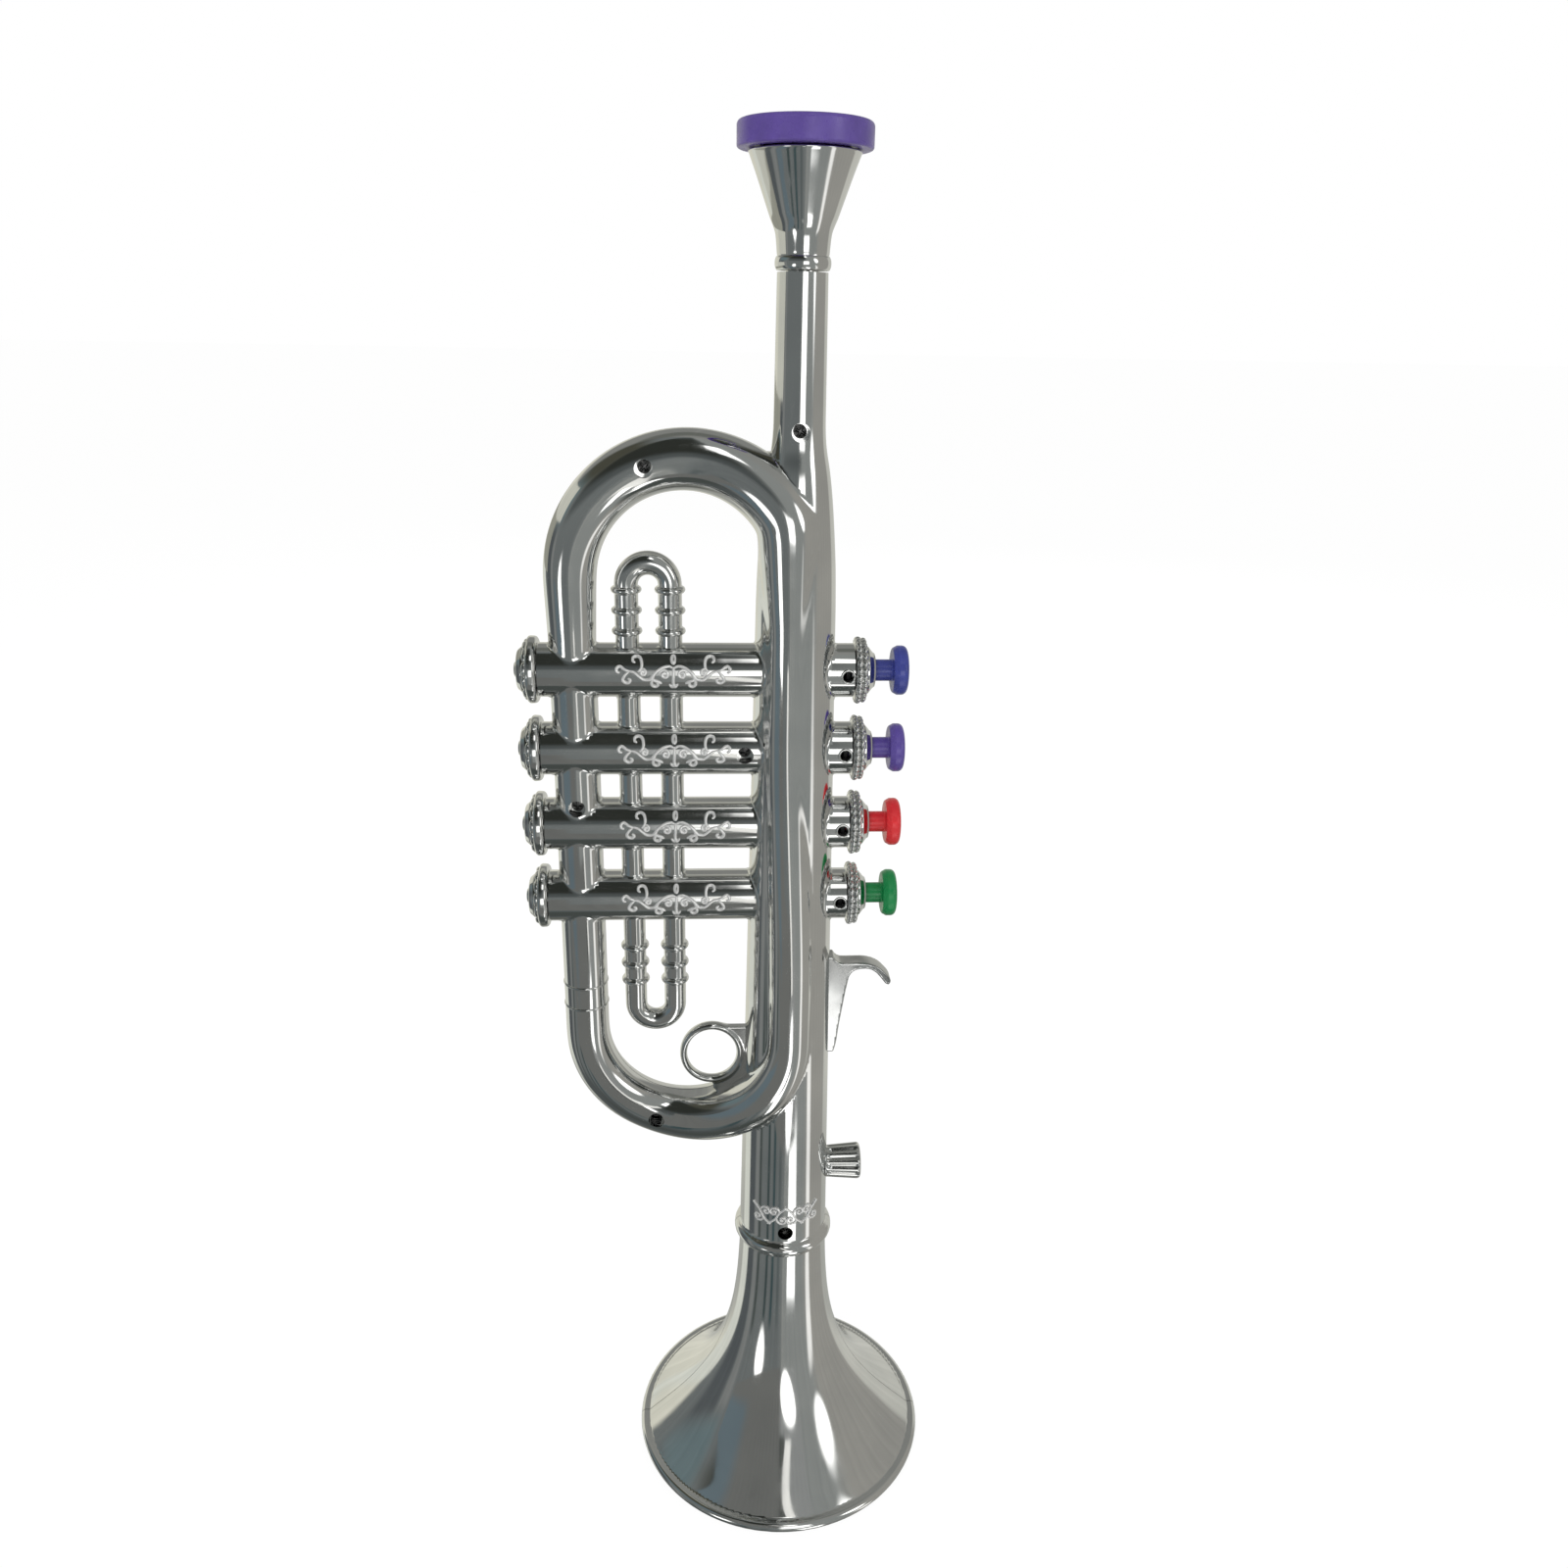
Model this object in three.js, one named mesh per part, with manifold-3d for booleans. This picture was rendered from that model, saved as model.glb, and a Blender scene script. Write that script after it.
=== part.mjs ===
// Toy trumpet with four spring keys. Millimetres, +Z up, standing on its bell rim.
// Inside the trumpet group the main tube's axis is x = 0, y = 0 and the bell rim lies at z = 0.
// The player's right is +X (keys), the loop of tubing lies on the left, and -Y is the front.
import * as THREE from 'three';
import { mergeVertices } from 'three/addons/utils/BufferGeometryUtils.js';
import Module from 'manifold-3d';

const wasm = await Module();
wasm.setup();

// Overall sizes
const instrumentLength = 371.8;
const bellRimRadius = 43.8;
const shellWall = 1.6;

// Clearances and allowances
const seatGap = 0.3;
const slideGap = 0.3;
const cutOverrun = 1;
const mergeDistance = 0.0002;

// Bell and band
const lipRadius = 1.5;
const lipTurnShares = [0, 0.5, 1];
const flareLength = 21;
const flareFootRadius = 12.4;
const flarePower = 1.2;
const bandHeightShare = 0.271;
const bandWidth = 4;
const bandProud = 1.6;
const bandTurnShares = [-1, -1 / 3, 1 / 3, 1];
const flareHeightShares = [0.05, 0.1, 0.17, 0.26, 0.38, 0.54, 0.76];

// Main tube, shoulder and neck
const tubeRadiusAtBand = 12.8;
const tubeRadiusAtShoulder = 10;
const neckRadius = 6.25;
const neckEndRadius = 5.9;
const neckLengthShare = 0.1258;
const shoulderLengthShare = 0.151;
const shoulderHeightShares = [0, 0.35, 0.64, 0.86, 1];
const shoulderDropShares = [0, 0.17, 0.44, 0.86, 1];
const slopeSample = 0.5;

// Mouthpiece
const beadRadius = 6.5;
const beadLength = 3.5;
const beadTurnShares = [-0.5, 0, 0.5];
const cupFootRadius = 6;
const cupRadius = 12.8;
const cupLength = 21.5;
const cupHeightShares = [0.24, 0.45, 0.72, 0.95, 1];
const cupSpreadShares = [0.1, 0.35, 0.66, 0.95, 1];
const cupSpigotLength = 11;
const throatRadius = 2.2;
const bowlDepthShares = [1, 0.78, 0.45, 0.14];
const bowlSpreadShares = [0, 0.42, 0.84, 1];
const rimRadius = 15.3;
const rimLength = 6;
const rimRound = 1.1;
const rimBoreRadius = 8.8;
const rimSkirtWall = 1.2;
const rimSkirtLength = 3;

// Loop of tubing
const loopReach = 55.8;
const loopTubeRadius = 5.9;
const topBendLeftRadius = 6.5;
const topBendRightRadius = 7.9;
const footBendTubeRadius = 6.9;
const legTopOffset = 1.7;
const legTopDepth = 5;
const legFootDepth = 8.3;
const topBendOverlap = 1.6;
const topBendRiseShare = 0.0841;
const footBendDropShare = 0.1474;
const topBendEndAngle = 30;
const footDeepAngle = 30;
const footLevelAngle = 120;
const legSwellShares = [0.2, 0.85];
const legStations = 5;
const bendStations = 10;
const loopBoreTopAngle = 52;
const loopBoreFootAngle = 62;

// Valve casings
const valveCount = 4;
const valvePitch = 20.86;
const topValveDropShare = 0.0607;
const casingRadius = 6.85;
const casingOverhang = 8.4;
const casingRightReach = 14.9;
const soundHoleRadius = 1.4;
const soundHoleSetback = 1.75;

// Bars between the casings and the tuning slides in line with them
const slideSetIn = 19.1;
const slideHalfSpacing = 5.4;
const slideTubeRadius = 2.95;
const upperSlideRise = 14.85;
const lowerSlideClearance = 20.7;
const slideRingProud = 0.87;
const slideRingLength = 1.7;
const slideRingPitch = 5.2;
const slideRingCount = 3;
const upperFirstRing = 1.2;
const lowerFirstRing = 7.5;
const slideInset = 1.5;

// Screws, their wells and bosses
const wellRadius = 2.2;
const bossWall = 1.2;
const screwLedge = 1.6;
const screwHeadRadius = 1.6;
const screwHeadLength = 1.3;
const screwCrownShare = 0.6;
const screwShankRadius = 0.9;
const screwReach = 3.4;
const pilotDepth = 3.9;
const topScrewAngle = 110;
const footScrewAngle = 109;
const casingScrewReach = 12.6;
const legScrewRise = 6.1;
const bandScrewRise = 5.8;

// End caps of the casings
const capProud = 1.75;
const capFlangeLength = 3.1;
const capDomeRadius = 6;
const capDomeLength = 2.95;
const capDomeRiseShares = [0.25, 0.7];
const capDomeWidthShares = [1, 0.72];
const capSpigotLength = 3;
const capWall = 1.2;
const flangeRound = 0.6;

// Key collars
const collarFlangeLength = 2.8;
const collarShoulderRadius = 6.3;
const collarTipRadius = 4.2;
const collarDomeLength = 2.4;
const collarSpigotLength = 0.9;

// Keys, pads and springs
const keyTravel = 3;
const keyRestGap = 1.5;
const keyCapRadius = 6.3;
const keyCapLength = 4.05;
const keyCapRound = 1.2;
const keyStemRadius = 2.75;
const keyStopLength = 1.2;
const keyStopGap = 0.5;
const keyRodRadius = 1.5;
const padNeckRadius = 1;
const padHeadRadius = 2.1;
const padHeadLength = 0.8;
const padRadius = 3.6;
const padLength = 1.5;
const springWireRadius = 0.3;
const springWallGap = 0.9;
const springTurns = 3;

// Reed block, cover and reeds
const chestReach = 6;
const portWall = 1.5;
const portGap = 1;
const cellGap = 0.5;
const cellWall = 1.5;
const cellMargin = 0.6;
const cellSeptum = 2;
const chestCollarLength = 2;
const ribLength = 1.5;
const ribHeight = 1.5;
const coverLength = 1.2;
const reedThickness = 0.8;
const reedHalfWidth = 3.3;
const reedHalfHeight = 8;
const tongueHalfWidth = 1.3;
const tongueHalfHeight = 5;
const tongueSlit = 0.5;

// Finger ring in the corner of the loop
const ringTubeClearance = 0.4;
const ringBendClearance = 2.15;
const ringHoleRadius = 7;
const ringWall = 2;
const ringHalfDepth = 1.5;
const ringEdgeRound = 0.7;
const ringHeightShare = 1.08;
const webHalfDepth = 1.2;
const upperWebRise = 8.6;
const lowerWebDrop = 15;
const lowerWebReach = 14;
const tabHalfDepth = 1;
const tabHeight = 4;
const tabInset = 1.2;

// Finger hook on the right of the main tube
const hookTopDropShare = 0.0661;
const hookHeight = 30.2;
const hookReach = 17.2;
const hookHalfDepth = 2.6;
const hookRound = 0.7;
// Each row is the end of a straight side, or the bend point and the end of a curved one.
const hookOutlineShares = [
  [-0.25, 0], [0.06, 0], [0.1, 0.04],
  [0.2, 0.45, 0.27, 0.7], [0.31, 0.87, 0.5, 0.873], [0.74, 0.88, 0.9, 0.72],
  [0.99, 0.74], [0.8, 0.92, 0.5, 0.93], [0.3, 0.93, 0.15, 0.935],
  [0.07, 1], [-0.25, 1],
];

// Thumb knob
const knobHeightShare = 0.348;
const knobLength = 9.6;
const knobBaseRadius = 4.5;
const knobEndRadius = 5.3;
const knobFluteDepth = 0.7;
const knobFlutes = 12;
const knobShankRadius = 2;
const knobRound = 0.7;

// Facets round each form
const tubeSides = 28;
const boreSides = 20;
const loopSides = 12;
const loopBoreSides = 8;
const casingSides = 16;
const hiddenSides = 10;
const smallSides = 8;
const turnedSides = 12;
const cupSides = 20;
const ringSides = 16;
const hookCurveSteps = 4;
const wireSides = 5;
const wireStepsPerTurn = 8;
const slideBendStations = 7;

// Heights that follow: beside the mouthpiece and the run of valves, the rest of the length is shared out
const shellTop = instrumentLength - rimLength - cupLength - beadLength;
const valveDrops = Array.from({ length: valveCount }, (_, i) => i * valvePitch);
const plainLength = shellTop - valveDrops.at(-1);
const bandHeight = plainLength * bandHeightShare;
const neckLength = plainLength * neckLengthShare;
const neckStart = shellTop - neckLength;
const shoulderLength = plainLength * shoulderLengthShare;
const shoulderStart = neckStart - shoulderLength;
const topValveHeight = shoulderStart - plainLength * topValveDropShare;
const valveHeights = valveDrops.map((drop) => topValveHeight - drop);
const footValveHeight = valveHeights.at(-1);
const topBendRise = plainLength * topBendRiseShare;
const topBendHeight = topValveHeight + topBendRise;
const footBendHeight = footValveHeight - plainLength * footBendDropShare;
const hookTop = footValveHeight - plainLength * hookTopDropShare;
const knobHeight = plainLength * knobHeightShare;

// Places and radii that follow
const lipCentreRadius = bellRimRadius - lipRadius;
const topBendRadius = (loopReach + topBendOverlap) / 2;
const topBendCentre = topBendRadius - loopReach;
const footBendRadius = loopReach / 2;
const footBendCentre = -footBendRadius;
const footBendTop = footBendHeight - footBendRadius + footBendTubeRadius;
const slideCentre = loopReach - slideSetIn;
const upperSlideHeight = topValveHeight + casingRadius + upperSlideRise;
const lowerSlideHeight = footBendTop + lowerSlideClearance + slideTubeRadius + slideHalfSpacing;
const casingLeftReach = loopReach + casingOverhang;
const casingBore = casingRadius - shellWall;
const capSeat = casingLeftReach + seatGap;
const capTip = capSeat + capFlangeLength + capDomeLength;
const capRadius = casingRadius + capProud;
const collarSeat = casingRightReach + seatGap;
const collarFace = collarSeat + collarFlangeLength;
const collarTip = collarFace + collarDomeLength;
const spigotRadius = casingBore - seatGap;
const keyCapBase = collarTip + keyTravel + keyRestGap;
const keyStopFace = collarSeat - collarSpigotLength - seatGap;
const keyStopBack = keyStopFace - keyStopLength;
const portFace = chestReach - portWall;
const padFace = portFace - seatGap;
const padBack = padFace - padLength;
const padHeadBack = padBack - seatGap - padHeadLength;
const trayFace = padHeadBack - keyTravel - cellMargin;
const coverFace = trayFace - seatGap;
const reedFace = coverFace - coverLength - seatGap;
const cellHalfWidth = padRadius + cellGap;
const cellHalfHeight = (valvePitch - cellSeptum) / 2;
const chestTop = topValveHeight + valvePitch / 2;
const chestFoot = footValveHeight - valvePitch / 2;
const ringOuterRadius = ringHoleRadius + ringWall;
const frameShift = (capTip - bellRimRadius) / 2;

const quarterTurn = Math.PI / 2;
const radians = THREE.MathUtils.degToRad;
const smooth = (share) => THREE.MathUtils.smoothstep(share, 0, 1);

// Closed solid from a three.js geometry, with shared vertices merged and faces pointing out.
function solidOf(geometry) {
  const bare = geometry.clone();
  for (const name of ['normal', 'uv', 'uv1']) bare.deleteAttribute(name);
  const merged = mergeVertices(bare, mergeDistance);
  const corners = merged.index.array;
  const kept = [];
  for (let i = 0; i < corners.length; i += 3) {
    const [a, b, c] = [corners[i], corners[i + 1], corners[i + 2]];
    if (a !== b && b !== c && c !== a) kept.push(a, b, c);
  }
  const points = merged.attributes.position;
  const corner = [new THREE.Vector3(), new THREE.Vector3(), new THREE.Vector3()];
  let volume = 0;
  for (let i = 0; i < kept.length; i += 3) {
    corner.forEach((v, k) => v.fromBufferAttribute(points, kept[i + k]));
    volume += corner[0].dot(corner[1].clone().cross(corner[2]));
  }
  if (volume < 0) kept.reverse();
  return new wasm.Manifold(new wasm.Mesh({
    numProp: 3,
    vertProperties: new Float32Array(points.array),
    triVerts: new Uint32Array(kept),
  }));
}

function geometryOf(solid) {
  const mesh = solid.getMesh();
  const geometry = new THREE.BufferGeometry();
  geometry.setAttribute('position', new THREE.BufferAttribute(mesh.vertProperties, 3));
  geometry.setIndex(new THREE.BufferAttribute(mesh.triVerts, 1));
  geometry.computeVertexNormals();
  return geometry;
}

function unite(solids) {
  return solids.reduce((whole, next) => whole.add(next));
}

function cutAll(solid, tools) {
  return tools.reduce((rest, tool) => rest.subtract(tool), solid);
}

// Turned form about +Z from [radius, height] pairs that start and end on the axis or close on themselves.
function turned(pairs, sides) {
  const points = pairs.map(([radius, height]) => new THREE.Vector2(radius, height));
  if (pairs[0][0] > 0) points.push(points[0].clone());
  return new THREE.LatheGeometry(points, sides).rotateX(Math.PI / 2);
}

// The same form laid along the valve axis, heights running to +X (side 1) or -X (side -1).
function turnedAlongX(pairs, sides, side = 1) {
  return turned(pairs, sides).rotateY(side * Math.PI / 2);
}

function rodAlongX(radius, from, to, sides) {
  return turnedAlongX([[0, from], [radius, from], [radius, to], [0, to]], sides);
}

function rodAlongY(radius, from, to, sides) {
  return turned([[0, from], [radius, from], [radius, to], [0, to]], sides).rotateX(-Math.PI / 2);
}

function rodAlongZ(radius, from, to, sides) {
  return turned([[0, from], [radius, from], [radius, to], [0, to]], sides);
}

function blockBetween(low, high) {
  const size = high.map((value, k) => value - low[k]);
  const middle = high.map((value, k) => (value + low[k]) / 2);
  return new THREE.BoxGeometry(...size).translate(...middle);
}

function roundSection(radius, sides) {
  const turn = 2 * Math.PI / sides;
  const points = Array.from({ length: sides }, (_, i) => new THREE.Vector2(
    radius * Math.cos(i * turn), radius * Math.sin(i * turn)));
  return new THREE.Shape(points);
}

// A curve given by its stations, each with its place and direction, so long straights take one step.
class StationCurve extends THREE.Curve {
  constructor(stations) {
    super();
    this.stations = stations;
  }

  stationAt(share) {
    return this.stations[Math.round(share * (this.stations.length - 1))];
  }

  getPoint(share, target = new THREE.Vector3()) {
    return target.copy(this.stationAt(share).place);
  }

  getTangent(share, target = new THREE.Vector3()) {
    return target.copy(this.stationAt(share).direction);
  }

  getUtoTmapping(share) {
    return share;
  }
}

// Tube along stations. Each section is drawn out about its own station to the radius given there.
function tubeAlong(stations, sides) {
  const path = new StationCurve(stations);
  const least = Math.min(...stations.map((station) => station.radius));
  const tube = new THREE.ExtrudeGeometry(roundSection(least, sides), {
    steps: stations.length - 1,
    extrudePath: path,
  });
  const corners = tube.attributes.position;
  const corner = new THREE.Vector3();
  for (let i = 0; i < corners.count; i += 1) {
    corner.fromBufferAttribute(corners, i);
    const near = stations.reduce((best, station) => (
      station.place.distanceToSquared(corner) < best.place.distanceToSquared(corner) ? station : best));
    corner.sub(near.place).multiplyScalar(near.radius / least).add(near.place);
    corners.setXYZ(i, corner.x, corner.y, corner.z);
  }
  return tube;
}

// Stations through [place, radius] pairs, each section square to the way between its neighbours.
function stationsThrough(pairs, grow = 0) {
  const last = pairs.length - 1;
  return pairs.map(([place, radius], i) => {
    const ahead = pairs[Math.min(i + 1, last)][0].clone().sub(place).normalize();
    const behind = place.clone().sub(pairs[Math.max(i - 1, 0)][0]).normalize();
    return { place, direction: ahead.add(behind).normalize(), radius: radius + grow };
  });
}

// Outer radius of the main tube at a height above the bell rim.
function tubeRadius(height) {
  if (height < bandHeight) {
    const run = Math.max(height - lipRadius, 0) / flareLength;
    return flareFootRadius + (lipCentreRadius - flareFootRadius) * Math.exp(-(run ** flarePower));
  }
  if (height < shoulderStart) {
    const share = (height - bandHeight) / (shoulderStart - bandHeight);
    return THREE.MathUtils.lerp(tubeRadiusAtBand, tubeRadiusAtShoulder, share);
  }
  if (height < neckStart) {
    const share = (height - shoulderStart) / shoulderLength;
    const next = shoulderHeightShares.findIndex((value) => value > share);
    const [low, high] = [shoulderHeightShares[next - 1], shoulderHeightShares[next]];
    const drop = THREE.MathUtils.lerp(shoulderDropShares[next - 1], shoulderDropShares[next],
      (share - low) / (high - low));
    return THREE.MathUtils.lerp(tubeRadiusAtShoulder, neckRadius, drop);
  }
  return THREE.MathUtils.lerp(neckRadius, neckEndRadius, (height - neckStart) / neckLength);
}

// Bore radius: the wall is measured square to the surface, so it stays even through the flare.
function boreRadius(height) {
  const low = Math.max(height - slopeSample, lipRadius);
  const high = height + slopeSample;
  const slope = (tubeRadius(high) - tubeRadius(low)) / (high - low);
  return tubeRadius(height) - shellWall * Math.hypot(1, slope);
}

function flareRows(radiusAt) {
  return flareHeightShares.map((share) => [radiusAt(share * bandHeight), share * bandHeight]);
}

function shoulderRows(radiusAt) {
  return shoulderHeightShares.map((share) => {
    const height = shoulderStart + share * shoulderLength;
    return [radiusAt(height), height];
  });
}

// Main tube from the rolled lip to the top of the neck, grown by an allowance all round.
function mainTubeForm(grow) {
  const grown = (height) => tubeRadius(height) + grow;
  const lip = lipTurnShares.map((share) => [
    lipCentreRadius + (lipRadius + grow) * Math.cos(share * quarterTurn),
    lipRadius + (lipRadius + grow) * Math.sin(share * quarterTurn),
  ]);
  const band = bandTurnShares.map((share) => [
    grown(bandHeight) + bandProud * Math.cos(share * quarterTurn),
    bandHeight + bandWidth / 2 * Math.sin(share * quarterTurn),
  ]);
  const flatEdge = lipCentreRadius + lipRadius / 2 + grow;
  const start = [[0, -grow], [flatEdge, -grow], ...lip, ...flareRows(grown), ...band];
  const end = [...shoulderRows(grown), [grown(shellTop), shellTop + grow], [0, shellTop + grow]];
  return turned([...start, ...end], tubeSides);
}

// Bore of the main tube, from the bell mouth to the top of the neck.
function mainBoreForm(shrink) {
  const shrunk = (height) => boreRadius(height) - shrink;
  const lipSlope = (boreRadius(lipRadius) - boreRadius(2 * lipRadius)) / lipRadius;
  const mouthRadius = shrunk(lipRadius) + lipSlope * (lipRadius + cutOverrun);
  const start = [[0, -cutOverrun], [mouthRadius, -cutOverrun], [shrunk(lipRadius), lipRadius]];
  const tube = [[shrunk(bandHeight + bandWidth), bandHeight + bandWidth], ...shoulderRows(shrunk)];
  const end = [[shrunk(shellTop), shellTop + cutOverrun], [0, shellTop + cutOverrun]];
  return turned([...start, ...flareRows(shrunk), ...tube, ...end], boreSides);
}

// Depth of the foot bend in front of the seam plane: full under the right leg, none on the left.
function footDepthAt(angle) {
  const share = (footLevelAngle - angle) / (footLevelAngle - footDeepAngle);
  return legFootDepth * smooth(share);
}

function topBendPlace(angle) {
  const across = topBendCentre + topBendRadius * Math.cos(radians(angle));
  const up = topBendHeight + topBendRadius * Math.sin(radians(angle));
  return new THREE.Vector3(across, -legTopDepth * smooth(1 - angle / 90), up);
}

function footBendPlace(angle) {
  const across = footBendCentre + footBendRadius * Math.cos(radians(angle));
  const up = footBendHeight - footBendRadius * Math.sin(radians(angle));
  return new THREE.Vector3(across, -footDepthAt(angle), up);
}

function rightLegPlace(share) {
  const [start, end] = legSwellShares;
  const swell = smooth((share - start) / (end - start));
  return new THREE.Vector3(
    THREE.MathUtils.lerp(-legTopOffset, 0, swell),
    -THREE.MathUtils.lerp(legTopDepth, legFootDepth, swell),
    THREE.MathUtils.lerp(topBendHeight - topBendRise / 2, footBendHeight, share));
}

function spread(count, from, to) {
  return Array.from({ length: count }, (_, i) => THREE.MathUtils.lerp(from, to, i / (count - 1)));
}

// The top bend widens towards the main tube, and the foot bend is widest at its middle.
function topBendStation(angle) {
  const share = (180 - angle) / (180 - topBendEndAngle);
  return [topBendPlace(angle), THREE.MathUtils.lerp(topBendLeftRadius, topBendRightRadius, share)];
}

function footBendStation(angle) {
  const width = THREE.MathUtils.lerp(loopTubeRadius, footBendTubeRadius, Math.sin(radians(angle)));
  return [footBendPlace(angle), width];
}

// The left leg has its plain radius up to the first casing, and widens from there to the bend.
function leftLegStation(height) {
  return [new THREE.Vector3(-loopReach, 0, height), loopTubeRadius];
}

// Centre line of the loop, once round from the third casing, where its two ends meet inside.
function loopStations(grow) {
  const meeting = leftLegStation(valveHeights[2]);
  const bendStart = leftLegStation(topValveHeight + casingRadius);
  const top = [bendStart, ...spread(bendStations, 180, topBendEndAngle).map(topBendStation)];
  const leg = spread(legStations, 0, 1).map((share) => [rightLegPlace(share), loopTubeRadius]);
  const foot = spread(bendStations, 0, 180).slice(1).map(footBendStation);
  return stationsThrough([meeting, ...top, ...leg, ...foot, leftLegStation(valveHeights[2])], grow);
}

// The loop's bore runs on the left only: the main tube's own wall stays whole between the two.
function loopBoreStations() {
  const top = spread(bendStations, loopBoreTopAngle, 180).map(topBendStation);
  const leg = leftLegStation(topValveHeight + casingRadius);
  const foot = spread(bendStations, 180, loopBoreFootAngle).map(footBendStation);
  return stationsThrough([...top, leg, ...foot], -shellWall);
}

function slidePlacesX() {
  return [-slideCentre - slideHalfSpacing, -slideCentre + slideHalfSpacing];
}

// Outer form of both shells together, solid, grown by an allowance.
function bodyForm(grow) {
  const parts = [mainTubeForm(grow), tubeAlong(loopStations(grow), loopSides)];
  const [casingLeft, casingRight] = [-casingLeftReach - grow, casingRightReach + grow];
  for (const height of valveHeights) {
    const casing = rodAlongX(casingRadius + grow, casingLeft, casingRight, casingSides);
    parts.push(casing.translate(0, 0, height));
  }
  for (const across of slidePlacesX()) {
    const bar = rodAlongZ(slideTubeRadius + grow, footValveHeight, topValveHeight, smallSides);
    parts.push(bar.translate(across, 0, 0));
  }
  return unite(parts.map(solidOf));
}

// Screw axes on the tube they go through: a place on its centre line and the tube's radius there.
const screwPlaces = [
  [new THREE.Vector3(0, 0, neckStart), neckRadius],
  topBendStation(topScrewAngle),
  [new THREE.Vector3(-casingScrewReach, 0, valveHeights[1]), casingRadius],
  [new THREE.Vector3(-loopReach, 0, valveHeights[2] + legScrewRise), loopTubeRadius],
  footBendStation(footScrewAngle),
  [new THREE.Vector3(0, 0, bandHeight + bandScrewRise), tubeRadiusAtBand],
];

// Hollows inside the shells: main bore, left part of the loop, and the casings on both sides.
function hollowForms() {
  const keepWall = solidOf(mainTubeForm(0));
  const loopBore = solidOf(tubeAlong(loopBoreStations(), loopBoreSides));
  const forms = [solidOf(mainBoreForm(0)), loopBore.subtract(keepWall)];
  for (const height of valveHeights) {
    const leftEnd = -tubeRadius(height);
    const left = rodAlongX(casingBore, -casingLeftReach - cutOverrun, leftEnd, hiddenSides);
    const right = rodAlongX(casingBore, chestReach, casingRightReach + cutOverrun, hiddenSides);
    forms.push(solidOf(left.translate(0, 0, height)), solidOf(right.translate(0, 0, height)));
  }
  return forms;
}

// Ribs in the bore that hold the reed block's collars.
function boreRib(foot) {
  const inner = boreRadius(foot + ribLength) - ribHeight;
  const outer = boreRadius(foot) + shellWall / 2;
  return solidOf(turned([
    [inner, foot], [outer, foot], [outer, foot + ribLength], [inner, foot + ribLength],
  ], boreSides));
}

// A post through the tube at each screw, its ends inside the wall.
function screwBosses() {
  return screwPlaces.map(([place, radius]) => {
    const reach = radius - 3 * shellWall / 4;
    const post = rodAlongY(wellRadius + bossWall, place.y - reach, place.y + reach, smallSides);
    return solidOf(post.translate(place.x, 0, place.z));
  });
}

function screwHoles() {
  const holes = [];
  for (const [place] of screwPlaces) {
    const well = rodAlongY(wellRadius, -bellRimRadius - cutOverrun, -screwLedge, smallSides);
    const pilotRadius = screwShankRadius + seatGap;
    const pilot = rodAlongY(pilotRadius, -screwLedge - cutOverrun, pilotDepth, smallSides);
    const both = [well, pilot].map((hole) => solidOf(hole.translate(place.x, 0, place.z)));
    holes.push(...both);
  }
  return holes;
}

function soundHoles() {
  return valveHeights.map((height) => {
    const hole = rodAlongY(soundHoleRadius, -casingRadius - cutOverrun, -casingBore / 2, smallSides);
    return solidOf(hole.translate(casingRightReach - soundHoleSetback, 0, height));
  });
}

// Sockets at the seam for the slide legs, the knob's shank and the tabs of the ring and the hook.
function slideSockets() {
  const sockets = [];
  for (const across of slidePlacesX()) {
    const radius = slideTubeRadius + seatGap;
    const past = casingRadius + cutOverrun;
    const upper = rodAlongZ(radius, topValveHeight, topValveHeight + past, smallSides);
    const lower = rodAlongZ(radius, footValveHeight - past, footValveHeight, smallSides);
    sockets.push(solidOf(upper.translate(across, 0, 0)), solidOf(lower.translate(across, 0, 0)));
  }
  return sockets;
}

// The ring clears the main tube on its right and the inside of the foot bend below it.
const ringCentre = new THREE.Vector3(-tubeRadius(footBendHeight) - ringOuterRadius - ringTubeClearance, 0, 0);
const ringFromBend = footBendRadius - loopTubeRadius - ringOuterRadius - ringBendClearance;
ringCentre.z = footBendHeight - Math.sqrt(ringFromBend ** 2 - (ringCentre.x - footBendCentre) ** 2);
const ringTabTop = ringCentre.z + upperWebRise - tabInset;
const hookTabTop = hookTop - hookHeight / 4;

// A tab at the seam through the wall of the main tube, from inside the bore to a given reach.
function seamTab(side, top, reach, grow) {
  const inner = boreRadius(top) - tabInset - grow;
  const ends = [side * inner, side * reach].sort((a, b) => a - b);
  return solidOf(blockBetween(
    [ends[0], -tabHalfDepth - grow, top - tabHeight - grow],
    [ends[1], tabHalfDepth + grow, top + grow]));
}

function seamSlots() {
  const past = (height) => tubeRadius(height) + cutOverrun;
  const knobHole = rodAlongX(knobShankRadius + seatGap, 0, past(knobHeight), smallSides);
  return [
    seamTab(-1, ringTabTop, past(ringTabTop), seatGap),
    seamTab(1, hookTabTop, past(hookTabTop), seatGap),
    solidOf(knobHole.translate(0, 0, knobHeight)),
  ];
}

function shellPair() {
  const outside = bodyForm(0);
  const ribFromChest = chestCollarLength + seatGap;
  const ribs = [chestTop + ribFromChest, chestFoot - ribFromChest - ribLength];
  const walls = cutAll(outside, hollowForms());
  const filled = unite([walls, ...ribs.map(boreRib), ...screwBosses()]);
  const both = cutAll(filled, [...screwHoles(), ...soundHoles(), ...slideSockets(), ...seamSlots()]);
  const far = instrumentLength;
  const front = solidOf(blockBetween([-far, -far, -far], [far, 0, 2 * far]));
  const back = solidOf(blockBetween([-far, 0, -far], [far, far, 2 * far]));
  return [both.intersect(front), both.intersect(back)];
}

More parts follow.
